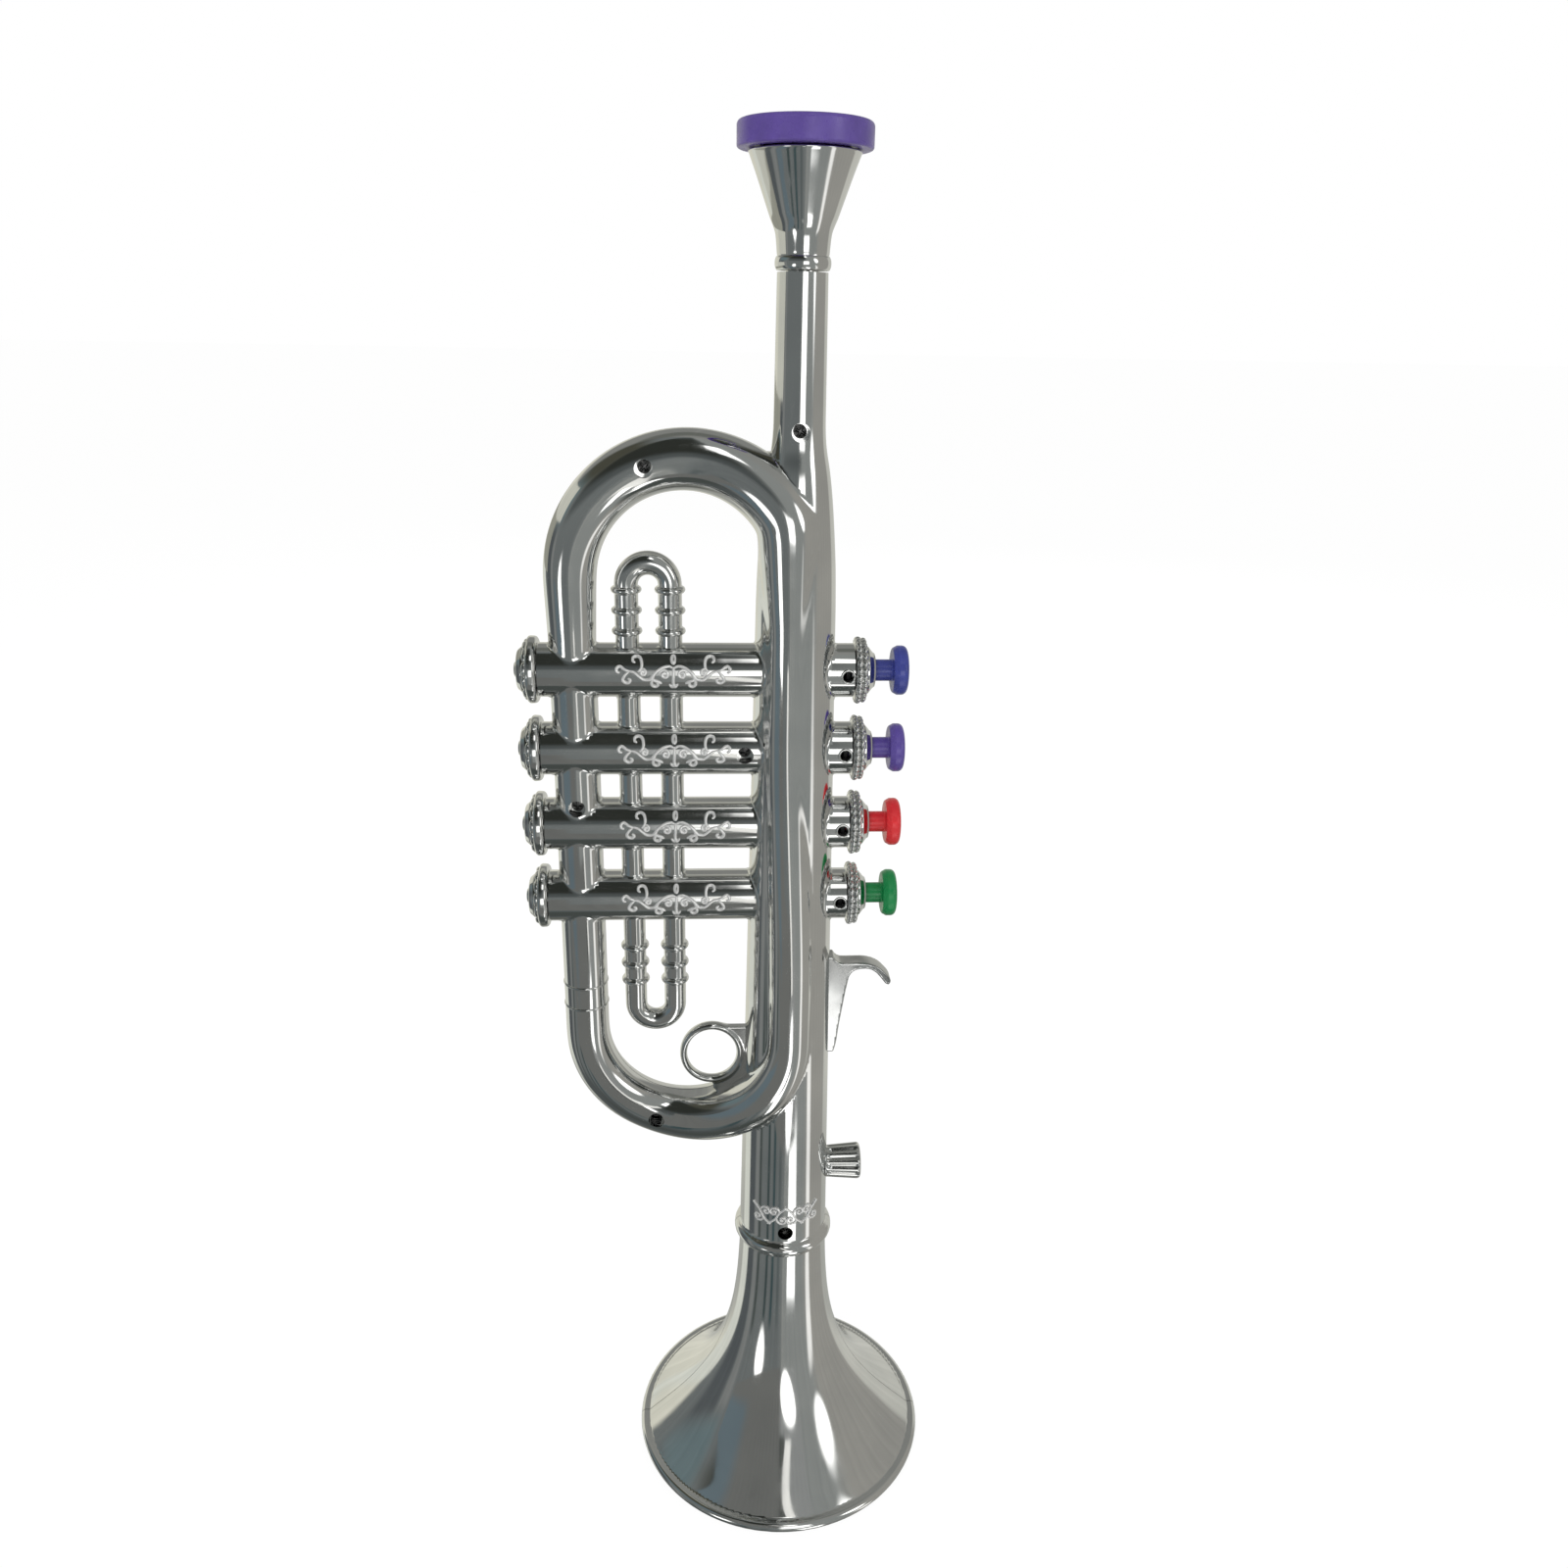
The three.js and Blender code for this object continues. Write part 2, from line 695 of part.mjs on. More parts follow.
// Chromed cup with its throat, foot bead and the spigot that enters the neck.
function mouthpieceCup() {
  const foot = shellTop + seatGap;
  const beadTop = foot + beadLength - seatGap;
  const cupTop = beadTop + cupLength;
  const spigotFoot = shellTop - cupSpigotLength;
  const spigot = Math.min(boreRadius(spigotFoot), boreRadius(shellTop)) - seatGap;
  const skirtBore = rimBoreRadius + rimSkirtWall + seatGap;
  const skirtFoot = cupTop - rimSkirtLength;
  const bead = beadTurnShares.map((share) => [
    cupFootRadius + (beadRadius - cupFootRadius) * Math.cos(share * quarterTurn),
    foot + beadLength / 2 + beadLength / 2 * Math.sin(share * quarterTurn),
  ]);
  const outside = cupHeightShares.map((share, i) => [
    cupFootRadius + (cupRadius - cupFootRadius) * cupSpreadShares[i],
    beadTop + cupLength * share,
  ]);
  const bowl = bowlDepthShares.map((share, i) => [
    throatRadius + (rimBoreRadius - throatRadius) * bowlSpreadShares[i],
    cupTop - cupLength * share,
  ]).reverse();
  return turned([
    [throatRadius, spigotFoot], [spigot, spigotFoot], [spigot, foot], [neckEndRadius, foot],
    ...bead, ...outside,
    [skirtBore, cupTop], [skirtBore, skirtFoot], ...bowl,
  ], cupSides);
}

function mouthpieceRim() {
  const top = instrumentLength;
  const foot = top - rimLength + seatGap;
  const skirtFoot = foot - rimSkirtLength + seatGap;
  const skirtRadius = rimBoreRadius + rimSkirtWall;
  return turned([
    [rimBoreRadius, skirtFoot], [skirtRadius, skirtFoot], [skirtRadius, foot],
    [rimRadius - rimRound / 2, foot], [rimRadius, foot + rimRound / 2],
    [rimRadius, top - rimRound], [rimRadius - rimRound, top],
    [rimBoreRadius + 2 * rimRound, top], [rimBoreRadius + rimRound / 2, top - rimRound / 2],
    [rimBoreRadius, top - 2 * rimRound],
  ], cupSides);
}

// Ringed U-bend: two legs into the casing wall, a half-round bend and three rings on each leg.
function tuningSlide(casingHeight, bendHeight, firstRing) {
  const side = Math.sign(bendHeight - casingHeight);
  const inside = casingHeight + side * (casingBore - slideInset);
  const bend = spread(slideBendStations, 180, 0).map((angle) => [new THREE.Vector3(
    -slideCentre + slideHalfSpacing * Math.cos(radians(angle)), 0,
    bendHeight + side * slideHalfSpacing * Math.sin(radians(angle))), slideTubeRadius]);
  const [left, right] = slidePlacesX();
  const legStationsAt = (across) => {
    const stations = [[new THREE.Vector3(across, 0, inside), slideTubeRadius]];
    for (let i = slideRingCount - 1; i >= 0; i -= 1) {
      const middle = bendHeight - side * (firstRing + i * slideRingPitch);
      for (const step of [-1, 0, 1]) {
        const up = middle + side * step * slideRingLength / 2;
        const radius = step ? slideTubeRadius : slideTubeRadius + slideRingProud;
        stations.push([new THREE.Vector3(across, 0, up), radius]);
      }
    }
    return stations;
  };
  const pairs = [...legStationsAt(left), ...bend, ...legStationsAt(right).reverse()];
  return solidOf(tubeAlong(stationsThrough(pairs), smallSides));
}

// Finger ring with its webs to the main tube and to the foot bend, and the tab that holds it.
function fingerRing() {
  const rounded = [
    [ringHoleRadius, -ringHalfDepth + ringEdgeRound], [ringHoleRadius + ringEdgeRound, -ringHalfDepth],
    [ringOuterRadius - ringEdgeRound, -ringHalfDepth], [ringOuterRadius, -ringHalfDepth + ringEdgeRound],
    [ringOuterRadius, ringHalfDepth - ringEdgeRound], [ringOuterRadius - ringEdgeRound, ringHalfDepth],
    [ringHoleRadius + ringEdgeRound, ringHalfDepth], [ringHoleRadius, ringHalfDepth - ringEdgeRound],
  ];
  const place = (geometry) => geometry.scale(1, 1, ringHeightShare).translate(ringCentre.x, 0, ringCentre.z);
  const ring = place(turned(rounded, ringSides).rotateX(Math.PI / 2));
  const outline = new THREE.Shape([
    new THREE.Vector2(ringCentre.x, ringCentre.z + upperWebRise),
    new THREE.Vector2(ringCentre.x, ringCentre.z - lowerWebDrop),
    new THREE.Vector2(ringCentre.x + lowerWebReach, ringCentre.z - lowerWebDrop),
    new THREE.Vector2(ringCentre.x + lowerWebReach, ringCentre.z + upperWebRise),
  ]);
  const sheet = new THREE.ExtrudeGeometry(outline, { depth: 2 * webHalfDepth, bevelEnabled: false });
  const web = solidOf(sheet.rotateX(Math.PI / 2).translate(0, webHalfDepth, 0));
  const past = webHalfDepth + cutOverrun;
  const hole = solidOf(place(rodAlongY(ringHoleRadius + ringWall / 2, -past, past, ringSides)));
  const body = unite([solidOf(ring), web.subtract(hole)]).subtract(bodyForm(seatGap));
  return body.add(seamTab(-1, ringTabTop, -ringCentre.x - ringOuterRadius + tabInset, 0));
}

// Finger hook: a web that tapers down the tube, a curved arm, and the tab that holds it.
function fingerHook() {
  const face = tubeRadius(hookTop - hookHeight / 2);
  const hookFoot = hookTop - hookHeight;
  const at = (acrossShare, upShare) => [face + hookReach * acrossShare, hookFoot + hookHeight * upShare];
  const outline = new THREE.Shape();
  const [start, ...sides] = hookOutlineShares;
  outline.moveTo(...at(...start));
  for (const [across, up, ...end] of sides) {
    if (end.length) outline.quadraticCurveTo(...at(across, up), ...at(...end));
    else outline.lineTo(...at(across, up));
  }
  const plate = new THREE.ExtrudeGeometry(outline, {
    depth: 2 * (hookHalfDepth - hookRound),
    bevelSize: hookRound / 2,
    bevelOffset: -hookRound / 2,
    bevelThickness: hookRound,
    bevelSegments: 1,
    curveSegments: hookCurveSteps,
  });
  const upright = plate.rotateX(Math.PI / 2).translate(0, hookHalfDepth - hookRound, 0);
  const hook = solidOf(upright).subtract(bodyForm(seatGap));
  return hook.add(seamTab(1, hookTabTop, face + hookReach / 8, 0));
}

// Short fluted knob, wider at its outer end, on a shank through the tube wall.
function thumbKnob() {
  const start = tubeRadius(knobHeight) + seatGap;
  const outline = new THREE.Shape(Array.from({ length: 2 * knobFlutes }, (_, i) => {
    const radius = i % 2 ? knobBaseRadius : knobBaseRadius - knobFluteDepth;
    const angle = i * Math.PI / knobFlutes;
    return new THREE.Vector2(radius * Math.cos(angle), radius * Math.sin(angle));
  }));
  const grip = new THREE.ExtrudeGeometry(outline, {
    depth: knobLength - 2 * knobRound,
    bevelSize: knobRound,
    bevelOffset: -knobRound,
    bevelThickness: knobRound,
    bevelSegments: 1,
  }).translate(0, 0, knobRound);
  const places = grip.attributes.position;
  for (let i = 0; i < places.count; i += 1) {
    const share = places.getZ(i) / knobLength;
    const widen = THREE.MathUtils.lerp(1, knobEndRadius / knobBaseRadius, share);
    places.setXY(i, places.getX(i) * widen, places.getY(i) * widen);
  }
  const standing = solidOf(grip.rotateY(Math.PI / 2).translate(start, 0, knobHeight));
  const shank = rodAlongX(knobShankRadius, boreRadius(knobHeight) - tabInset, start + knobRound, smallSides);
  return unite([standing, solidOf(shank.translate(0, 0, knobHeight))]);
}

function bottomCap() {
  const face = capSeat + capFlangeLength;
  const spigotBore = spigotRadius - capWall;
  return turned([
    [0, face - capWall], [spigotBore, face - capWall],
    [spigotBore, capSeat - capSpigotLength], [spigotRadius, capSeat - capSpigotLength],
    [spigotRadius, capSeat], [capRadius - flangeRound, capSeat], [capRadius, capSeat + flangeRound],
    [capRadius, face - flangeRound], [capDomeRadius, face],
    ...capDomeRiseShares.map((rise, i) => [
      capDomeRadius * capDomeWidthShares[i],
      face + capDomeLength * rise,
    ]),
    [0, capTip],
  ], turnedSides);
}

function keyCollar() {
  const bore = keyStemRadius + slideGap;
  const foot = collarSeat - collarSpigotLength;
  return turned([
    [bore, foot], [spigotRadius, foot], [spigotRadius, collarSeat],
    [capRadius - flangeRound, collarSeat], [capRadius, collarSeat + flangeRound],
    [capRadius, collarFace - flangeRound],
    [collarShoulderRadius, collarFace], [collarShoulderRadius, collarFace + collarDomeLength / 4],
    [collarTipRadius, collarTip], [bore, collarTip],
  ], turnedSides);
}

// Key in one piece: pad head, neck, rod, stop flange, stem and push cap.
function keyForm() {
  const end = keyCapBase + keyCapLength;
  const stop = casingBore - keyStopGap;
  return turned([
    [0, padHeadBack], [padHeadRadius, padHeadBack], [padHeadRadius, padBack - seatGap],
    [padNeckRadius, padBack - seatGap], [padNeckRadius, portFace], [keyRodRadius, portFace],
    [keyRodRadius, keyStopBack], [stop, keyStopBack], [stop, keyStopFace],
    [keyStemRadius, keyStopFace], [keyStemRadius, keyCapBase],
    [keyCapRadius, keyCapBase], [keyCapRadius, end - keyCapRound],
    [keyCapRadius - keyCapRound, end], [0, end],
  ], turnedSides);
}

function valvePad() {
  const bore = padNeckRadius + seatGap;
  return turned([[bore, padBack], [padRadius, padBack], [padRadius, padFace], [bore, padFace]], hiddenSides);
}

class HelixCurve extends THREE.Curve {
  constructor(radius, from, to, turns) {
    super();
    Object.assign(this, { radius, from, to, turns });
  }

  getPoint(share, target = new THREE.Vector3()) {
    const angle = share * this.turns * 2 * Math.PI;
    const along = THREE.MathUtils.lerp(this.from, this.to, share);
    return target.set(this.radius * Math.cos(angle), this.radius * Math.sin(angle), along);
  }
}

function keySpring() {
  const radius = casingBore - springWallGap - springWireRadius;
  const from = chestReach + seatGap + springWireRadius;
  const to = keyStopBack - seatGap - springWireRadius;
  return new THREE.ExtrudeGeometry(roundSection(springWireRadius, wireSides), {
    steps: Math.round(springTurns * wireStepsPerTurn),
    extrudePath: new HelixCurve(radius, from, to, springTurns),
  });
}

// Wind chest: a tray with one cell and one port a key, between two collars that fill the bore.
function reedBlock() {
  const halfWidth = cellHalfWidth + cellWall;
  const tray = solidOf(blockBetween([trayFace, -halfWidth, chestFoot], [chestReach, halfWidth, chestTop]));
  const collars = [[chestFoot - chestCollarLength, chestFoot], [chestTop, chestTop + chestCollarLength]];
  const discs = collars.map(([low, high]) => solidOf(blockBetween(
    [-bellRimRadius, -bellRimRadius, low], [bellRimRadius, bellRimRadius, high])));
  const inlet = solidOf(blockBetween(
    [-bellRimRadius, -bellRimRadius, chestTop - cutOverrun],
    [trayFace, bellRimRadius, chestTop + chestCollarLength + cutOverrun]));
  const whole = unite([tray, discs[0], discs[1].subtract(inlet)]).intersect(solidOf(mainBoreForm(seatGap)));
  const cuts = [];
  for (const height of valveHeights) {
    cuts.push(solidOf(blockBetween(
      [trayFace - cutOverrun, -cellHalfWidth, height - cellHalfHeight],
      [portFace, cellHalfWidth, height + cellHalfHeight])));
    const [portStart, portEnd] = [portFace - cutOverrun, chestReach + cutOverrun];
    const port = rodAlongX(keyRodRadius + portGap, portStart, portEnd, smallSides);
    cuts.push(solidOf(port.translate(0, 0, height)));
  }
  return cutAll(whole, cuts);
}

// Partition across the bore between the collars, with a window behind each reed.
function reedCover() {
  const plate = solidOf(blockBetween(
    [coverFace - coverLength, -bellRimRadius, chestFoot + seatGap],
    [coverFace, bellRimRadius, chestTop - seatGap])).intersect(solidOf(mainBoreForm(seatGap)));
  const windows = valveHeights.map((height) => solidOf(blockBetween(
    [coverFace - coverLength - cutOverrun, -tongueHalfWidth - tongueSlit, height - tongueHalfHeight],
    [coverFace + cutOverrun, tongueHalfWidth + tongueSlit, height + tongueHalfHeight])));
  return cutAll(plate, windows);
}

// Brass reed plate: a slit on three sides leaves the tongue, which stays joined at its upper end.
function reedPlate() {
  const back = reedFace - reedThickness;
  const plate = solidOf(blockBetween(
    [back, -reedHalfWidth, -reedHalfHeight],
    [reedFace, reedHalfWidth, reedHalfHeight]));
  const slot = solidOf(blockBetween(
    [back - cutOverrun, -tongueHalfWidth - tongueSlit, -tongueHalfHeight],
    [reedFace + cutOverrun, tongueHalfWidth + tongueSlit, tongueHalfHeight]));
  const tongue = solidOf(blockBetween(
    [back, -tongueHalfWidth, -tongueHalfHeight + tongueSlit],
    [reedFace, tongueHalfWidth, tongueHalfHeight + tongueSlit]));
  return plate.subtract(slot).add(tongue);
}

function screwForm() {
  const seat = -screwLedge - seatGap;
  const top = seat - screwHeadLength;
  return turned([
    [0, top], [screwHeadRadius * screwCrownShare, top], [screwHeadRadius, top + screwHeadLength / 2],
    [screwHeadRadius, seat], [screwShankRadius, seat],
    [screwShankRadius, screwReach - screwShankRadius], [0, screwReach],
  ], smallSides).rotateX(-Math.PI / 2);
}

const chrome = { color: 0xc9cbcc, roughness: 0.12, metalness: 1 };
const steel = { color: 0x6d7072, roughness: 0.35, metalness: 1 };
const brass = { color: 0xb8923f, roughness: 0.3, metalness: 1 };
const inner = { color: 0xd8d5cc, roughness: 0.6, metalness: 0 };
const rubber = { color: 0x2c2c2e, roughness: 0.9, metalness: 0 };
const purple = { color: 0x5a468c, roughness: 0.35, metalness: 0 };
const keyColours = [0x2a3c9c, 0x54428f, 0xc8232c, 0x0d8044];

function named(name, geometry, finish) {
  const mesh = new THREE.Mesh(geometry, new THREE.MeshStandardMaterial(finish));
  mesh.name = name;
  return mesh;
}

const trumpet = new THREE.Group();
trumpet.position.x = frameShift;

const [frontShell, backShell] = shellPair();
trumpet.add(
  named('front_shell', geometryOf(frontShell), chrome),
  named('back_shell', geometryOf(backShell), chrome),
  named('mouthpiece_cup', geometryOf(solidOf(mouthpieceCup())), chrome),
  named('mouthpiece_rim', geometryOf(solidOf(mouthpieceRim())), purple),
  named('tuning_slide_upper',
    geometryOf(tuningSlide(topValveHeight, upperSlideHeight, upperFirstRing)), chrome),
  named('tuning_slide_lower',
    geometryOf(tuningSlide(footValveHeight, lowerSlideHeight, lowerFirstRing)), chrome),
  named('finger_ring', geometryOf(fingerRing()), chrome),
  named('finger_hook', geometryOf(fingerHook()), chrome),
  named('thumb_knob', geometryOf(thumbKnob()), chrome),
  named('reed_block', geometryOf(reedBlock()), inner),
  named('reed_cover', geometryOf(reedCover()), inner),
);

valveHeights.forEach((height, i) => {
  const valve = new THREE.Group();
  valve.position.z = height;
  const number = i + 1;
  const plastic = { color: keyColours[i], roughness: 0.3, metalness: 0 };
  const turnedPieces = [
    named(`bottom_cap_${number}`, geometryOf(solidOf(bottomCap())), chrome),
    named(`key_collar_${number}`, geometryOf(solidOf(keyCollar())), chrome),
    named(`key_${number}`, geometryOf(solidOf(keyForm())), plastic),
    named(`valve_pad_${number}`, geometryOf(solidOf(valvePad())), rubber),
    named(`key_spring_${number}`, geometryOf(solidOf(keySpring())), steel),
  ];
  turnedPieces.forEach((piece, k) => {
    piece.rotation.y = k === 0 ? -Math.PI / 2 : Math.PI / 2;
  });
  valve.add(...turnedPieces, named(`reed_plate_${number}`, geometryOf(reedPlate()), brass));
  trumpet.add(valve);
});

screwPlaces.forEach(([place], i) => {
  const screw = named(`screw_${i + 1}`, geometryOf(solidOf(screwForm())), steel);
  screw.position.set(place.x, 0, place.z);
  trumpet.add(screw);
});

export default trumpet;
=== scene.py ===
"""Toy trumpet: chromed shells, fittings, keys and inner works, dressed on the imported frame.

All sizes are in millimetres about the main tube's axis (x = 0, y = 0, bell rim at z = 0),
and every mesh is moved to the row frame and scaled to metres when it is published.
"""
import sys
import logging
import math
from abc import ABC, abstractmethod
from dataclasses import dataclass, field
from enum import Enum
from typing import Iterable, Sequence

import bpy
import numpy as np
from mathutils import Matrix


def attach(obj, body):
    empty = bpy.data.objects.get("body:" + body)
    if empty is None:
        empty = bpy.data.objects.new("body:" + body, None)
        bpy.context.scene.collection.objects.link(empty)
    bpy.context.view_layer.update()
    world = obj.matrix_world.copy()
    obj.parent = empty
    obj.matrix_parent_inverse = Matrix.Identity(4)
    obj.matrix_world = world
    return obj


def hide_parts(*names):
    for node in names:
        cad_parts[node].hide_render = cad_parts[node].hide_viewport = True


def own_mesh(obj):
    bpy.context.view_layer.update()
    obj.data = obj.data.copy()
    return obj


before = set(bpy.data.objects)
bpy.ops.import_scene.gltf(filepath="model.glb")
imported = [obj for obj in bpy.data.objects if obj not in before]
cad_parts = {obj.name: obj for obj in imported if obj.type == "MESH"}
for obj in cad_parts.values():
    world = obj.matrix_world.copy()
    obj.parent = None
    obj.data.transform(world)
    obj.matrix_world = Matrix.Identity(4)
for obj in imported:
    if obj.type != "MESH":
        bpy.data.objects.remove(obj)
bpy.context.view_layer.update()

Array = np.ndarray
Socket = bpy.types.NodeSocket
Thing = bpy.types.Object
Pair = tuple[float, float]
Triple = tuple[float, float, float]
Reading = tuple[Array, Array]
LOG = logging.getLogger("toy_trumpet")

MILLIMETRE = 0.001
AXIS_SHIFT = 13.375
VALVE_HEIGHTS = (246.901, 226.041, 205.181, 184.321)
FAR = 40.0
DISPLAY_POWER = 2.2
CHROME_SHINE = 0.8
UPRIGHT = np.array([0.0, 0.0, 1.0])
SHIFT = np.array([AXIS_SHIFT, 0.0, 0.0])


class Half(Enum):
    """The two moulded halves of the body, either side of the seam plane y = 0."""

    FRONT = -1
    BACK = 1


# Numbers along curves


def columns(*values: Array) -> Array:
    """Equal rows of numbers set side by side, as the columns of one array."""
    return np.stack(values, axis=1)


def unit(vectors: Array, least: float = 1e-9) -> Array:
    """Vectors divided by their length, or by the least length where they are shorter than that."""
    return vectors / np.maximum(np.linalg.norm(vectors, axis=-1, keepdims=True), least)


def round_angles(count: int) -> Array:
    """Angles of so many even steps once round, in radians."""
    return np.linspace(0, 2 * math.pi, count, endpoint=False)


def rotation(axis: int, angle: float) -> Array:
    """Turn by an angle about axis 0, 1 or 2, as a 3 x 3 matrix."""
    u, v = (axis + 1) % 3, (axis + 2) % 3
    turn = np.eye(3)
    turn[u, u] = turn[v, v] = math.cos(angle)
    turn[v, u], turn[u, v] = math.sin(angle), -math.sin(angle)
    return turn


def ease(share: Array | float) -> Array | float:
    """Smooth step of a share: 0 below 0, 1 above 1, and 3s^2 - 2s^3 between."""
    held = np.clip(share, 0.0, 1.0)
    return held * held * (3.0 - 2.0 * held)


def through(knots: Sequence[float], values: Sequence[float], at: Array) -> Array:
    """Monotone cubic through given points: Hermite pieces with harmonic-mean slopes.

    Args:
        knots: rising places of the given points.
        values: their values.
        at: places to read.

    Returns:
        The curve's value at each place.
    """
    x, y = np.asarray(knots, float), np.asarray(values, float)
    width, chord = np.diff(x), np.diff(y) / np.diff(x)
    slope = np.zeros_like(x)
    same = chord[1:] * chord[:-1] > 0
    safe = np.where(same, 1.0 / np.where(same, chord[1:], 1) + 1.0 / np.where(same, chord[:-1], 1), 1)
    slope[1:-1] = np.where(same, 2.0 / safe, 0.0)
    slope[0], slope[-1] = chord[0], chord[-1]
    i = np.clip(np.searchsorted(x, at, side="right") - 1, 0, len(x) - 2)
    t = np.clip((at - x[i]) / width[i], 0, 1)
    return ((1 + 2 * t) * (1 - t) ** 2 * y[i] + t * (1 - t) ** 2 * width[i] * slope[i]
            + t * t * (3 - 2 * t) * y[i + 1] + t * t * (t - 1) * width[i] * slope[i + 1])


def evened(points: Array, step: float) -> Array:
    """A closed line with its points an even step apart, by linear steps along its length.

    Args:
        points: the line's points, one row each.
        step: wanted distance between neighbours.

    Returns:
        The evenly spaced points.
    """
    line = np.vstack([points, points[:1]])
    run = np.concatenate([[0.0], np.cumsum(np.linalg.norm(np.diff(line, axis=0), axis=1))])
    count = max(int(round(run[-1] / step)), 2)
    marks = np.linspace(0, run[-1], count + 1)[:-1]
    return columns(*(np.interp(marks, run, line[:, k]) for k in range(line.shape[1])))


def softened(values: Array, spread: float) -> Array:
    """A closed row of samples blurred by a bell curve of the given spread in samples."""
    half = int(math.ceil(3 * spread))
    weights = np.exp(-0.5 * (np.arange(-half, half + 1) / spread) ** 2)
    weights /= weights.sum()
    return sum(w * np.roll(values, k, axis=0) for k, w in zip(range(-half, half + 1), weights))


def spline(points: Sequence[Sequence[float]], steps: int = 8) -> Array:
    """Catmull-Rom curve through points: each span blends its four nearest points by cubics.

    Args:
        points: the points it goes through, two or three numbers each.
        steps: samples on each span.

    Returns:
        The curve's points.
    """
    p = np.asarray(points, float)
    ends = np.vstack([2 * p[0] - p[1], p, 2 * p[-1] - p[-2]])
    t = np.linspace(0, 1, steps, endpoint=False)[None, :, None]
    a, b, c, d = (ends[k:len(ends) - 3 + k, None, :] for k in range(4))
    spans = 0.5 * (2 * b + (c - a) * t + (2 * a - 5 * b + 4 * c - d) * t ** 2
                   + (3 * b - a - 3 * c + d) * t ** 3)
    return np.vstack([spans.reshape(-1, p.shape[1]), p[-1:]])


def arcs(corners: Sequence[Sequence[float]], steps: int = 5) -> Array:
    """Profile through corners, each turned into a circular arc of its own radius.

    An arc starts and ends radius x tan(half the turn) from its corner, and its points are
    spread evenly over the turn. A radius of 0 keeps the corner as one point.

    Args:
        corners: rows of radius-from-axis, height and corner rounding.
        steps: points on each arc.

    Returns:
        The profile's points, radius and height.
    """
    c = np.asarray(corners, float)
    out = [c[0, :2]]
    for before, here, after in zip(c[:-2], c[1:-1], c[2:]):
        into, away = here[:2] - before[:2], after[:2] - here[:2]
        room = min(np.linalg.norm(into), np.linalg.norm(away)) / 2
        into, away = into / np.linalg.norm(into), away / np.linalg.norm(away)
        turn = math.acos(float(np.clip(into @ away, -1, 1)))
        if here[2] <= 0 or turn < 1e-3:
            out.append(here[:2])
            continue
        reach = min(here[2] * math.tan(turn / 2), room * 0.98)
        radius = reach / math.tan(turn / 2)
        inward = (away - into) / np.linalg.norm(away - into)
        centre = here[:2] + inward * math.hypot(radius, reach)
        first = here[:2] - into * reach - centre
        side = into * radius
        swing = np.linspace(0, turn, steps)[:, None]
        out.extend(centre + first * np.cos(swing) + side * np.sin(swing))
    out.append(c[-1, :2])
    return np.array(out)


def filled(profile: Array, gap: float) -> Array:
    """The same profile with even points added wherever two neighbours are more than a gap apart.

    Args:
        profile: the profile's points.
        gap: longest step that is left alone.

    Returns:
        The profile with the added points.
    """
    rows = [profile[0]]
    for a, b in zip(profile[:-1], profile[1:]):
        extra = int(np.linalg.norm(b - a) // gap)
        rows.extend(a + (b - a) * k / (extra + 1) for k in range(1, extra + 1))
        rows.append(b)
    return np.array(rows)


# Surfaces


@dataclass
class Surface:
    """A closed surface ready to publish: points and normals in millimetres, and faces."""

    points: Array
    normals: Array
    faces: list[Array]
    finish: int = 0

    def volume(self) -> float:
        """Signed volume: the sum over triangles of a . (b x c) / 6, positive when faces look out."""
        total = 0.0
        for block in self.faces:
            for k in range(1, block.shape[1] - 1):
                a, b, c = (self.points[block[:, i]] for i in (0, k, k + 1))
                total += float(np.einsum("ij,ij->", a, np.cross(b, c))) / 6.0
        return total

    def outward(self) -> "Surface":
        """This surface with its faces and normals looking out."""
        if self.volume() < 0:
            self.faces = [block[:, ::-1] for block in self.faces]
        first, second, third = (self.points[self.faces[0][:, k]] for k in range(3))
        flat = np.cross(second - first, third - first)
        if np.einsum("ij,ij->", flat, self.normals[self.faces[0][:, 0]]) < 0:
            self.normals = -self.normals
        return self

    def moved(self, offset: Sequence[float]) -> "Surface":
        """A copy of this surface moved by an offset."""
        return Surface(self.points + np.asarray(offset, float), self.normals, self.faces, self.finish)

    def spun(self, turn: Array) -> "Surface":
        """A copy of this surface turned by a matrix."""
        return Surface(self.points @ turn.T, self.normals @ turn.T, self.faces, self.finish)


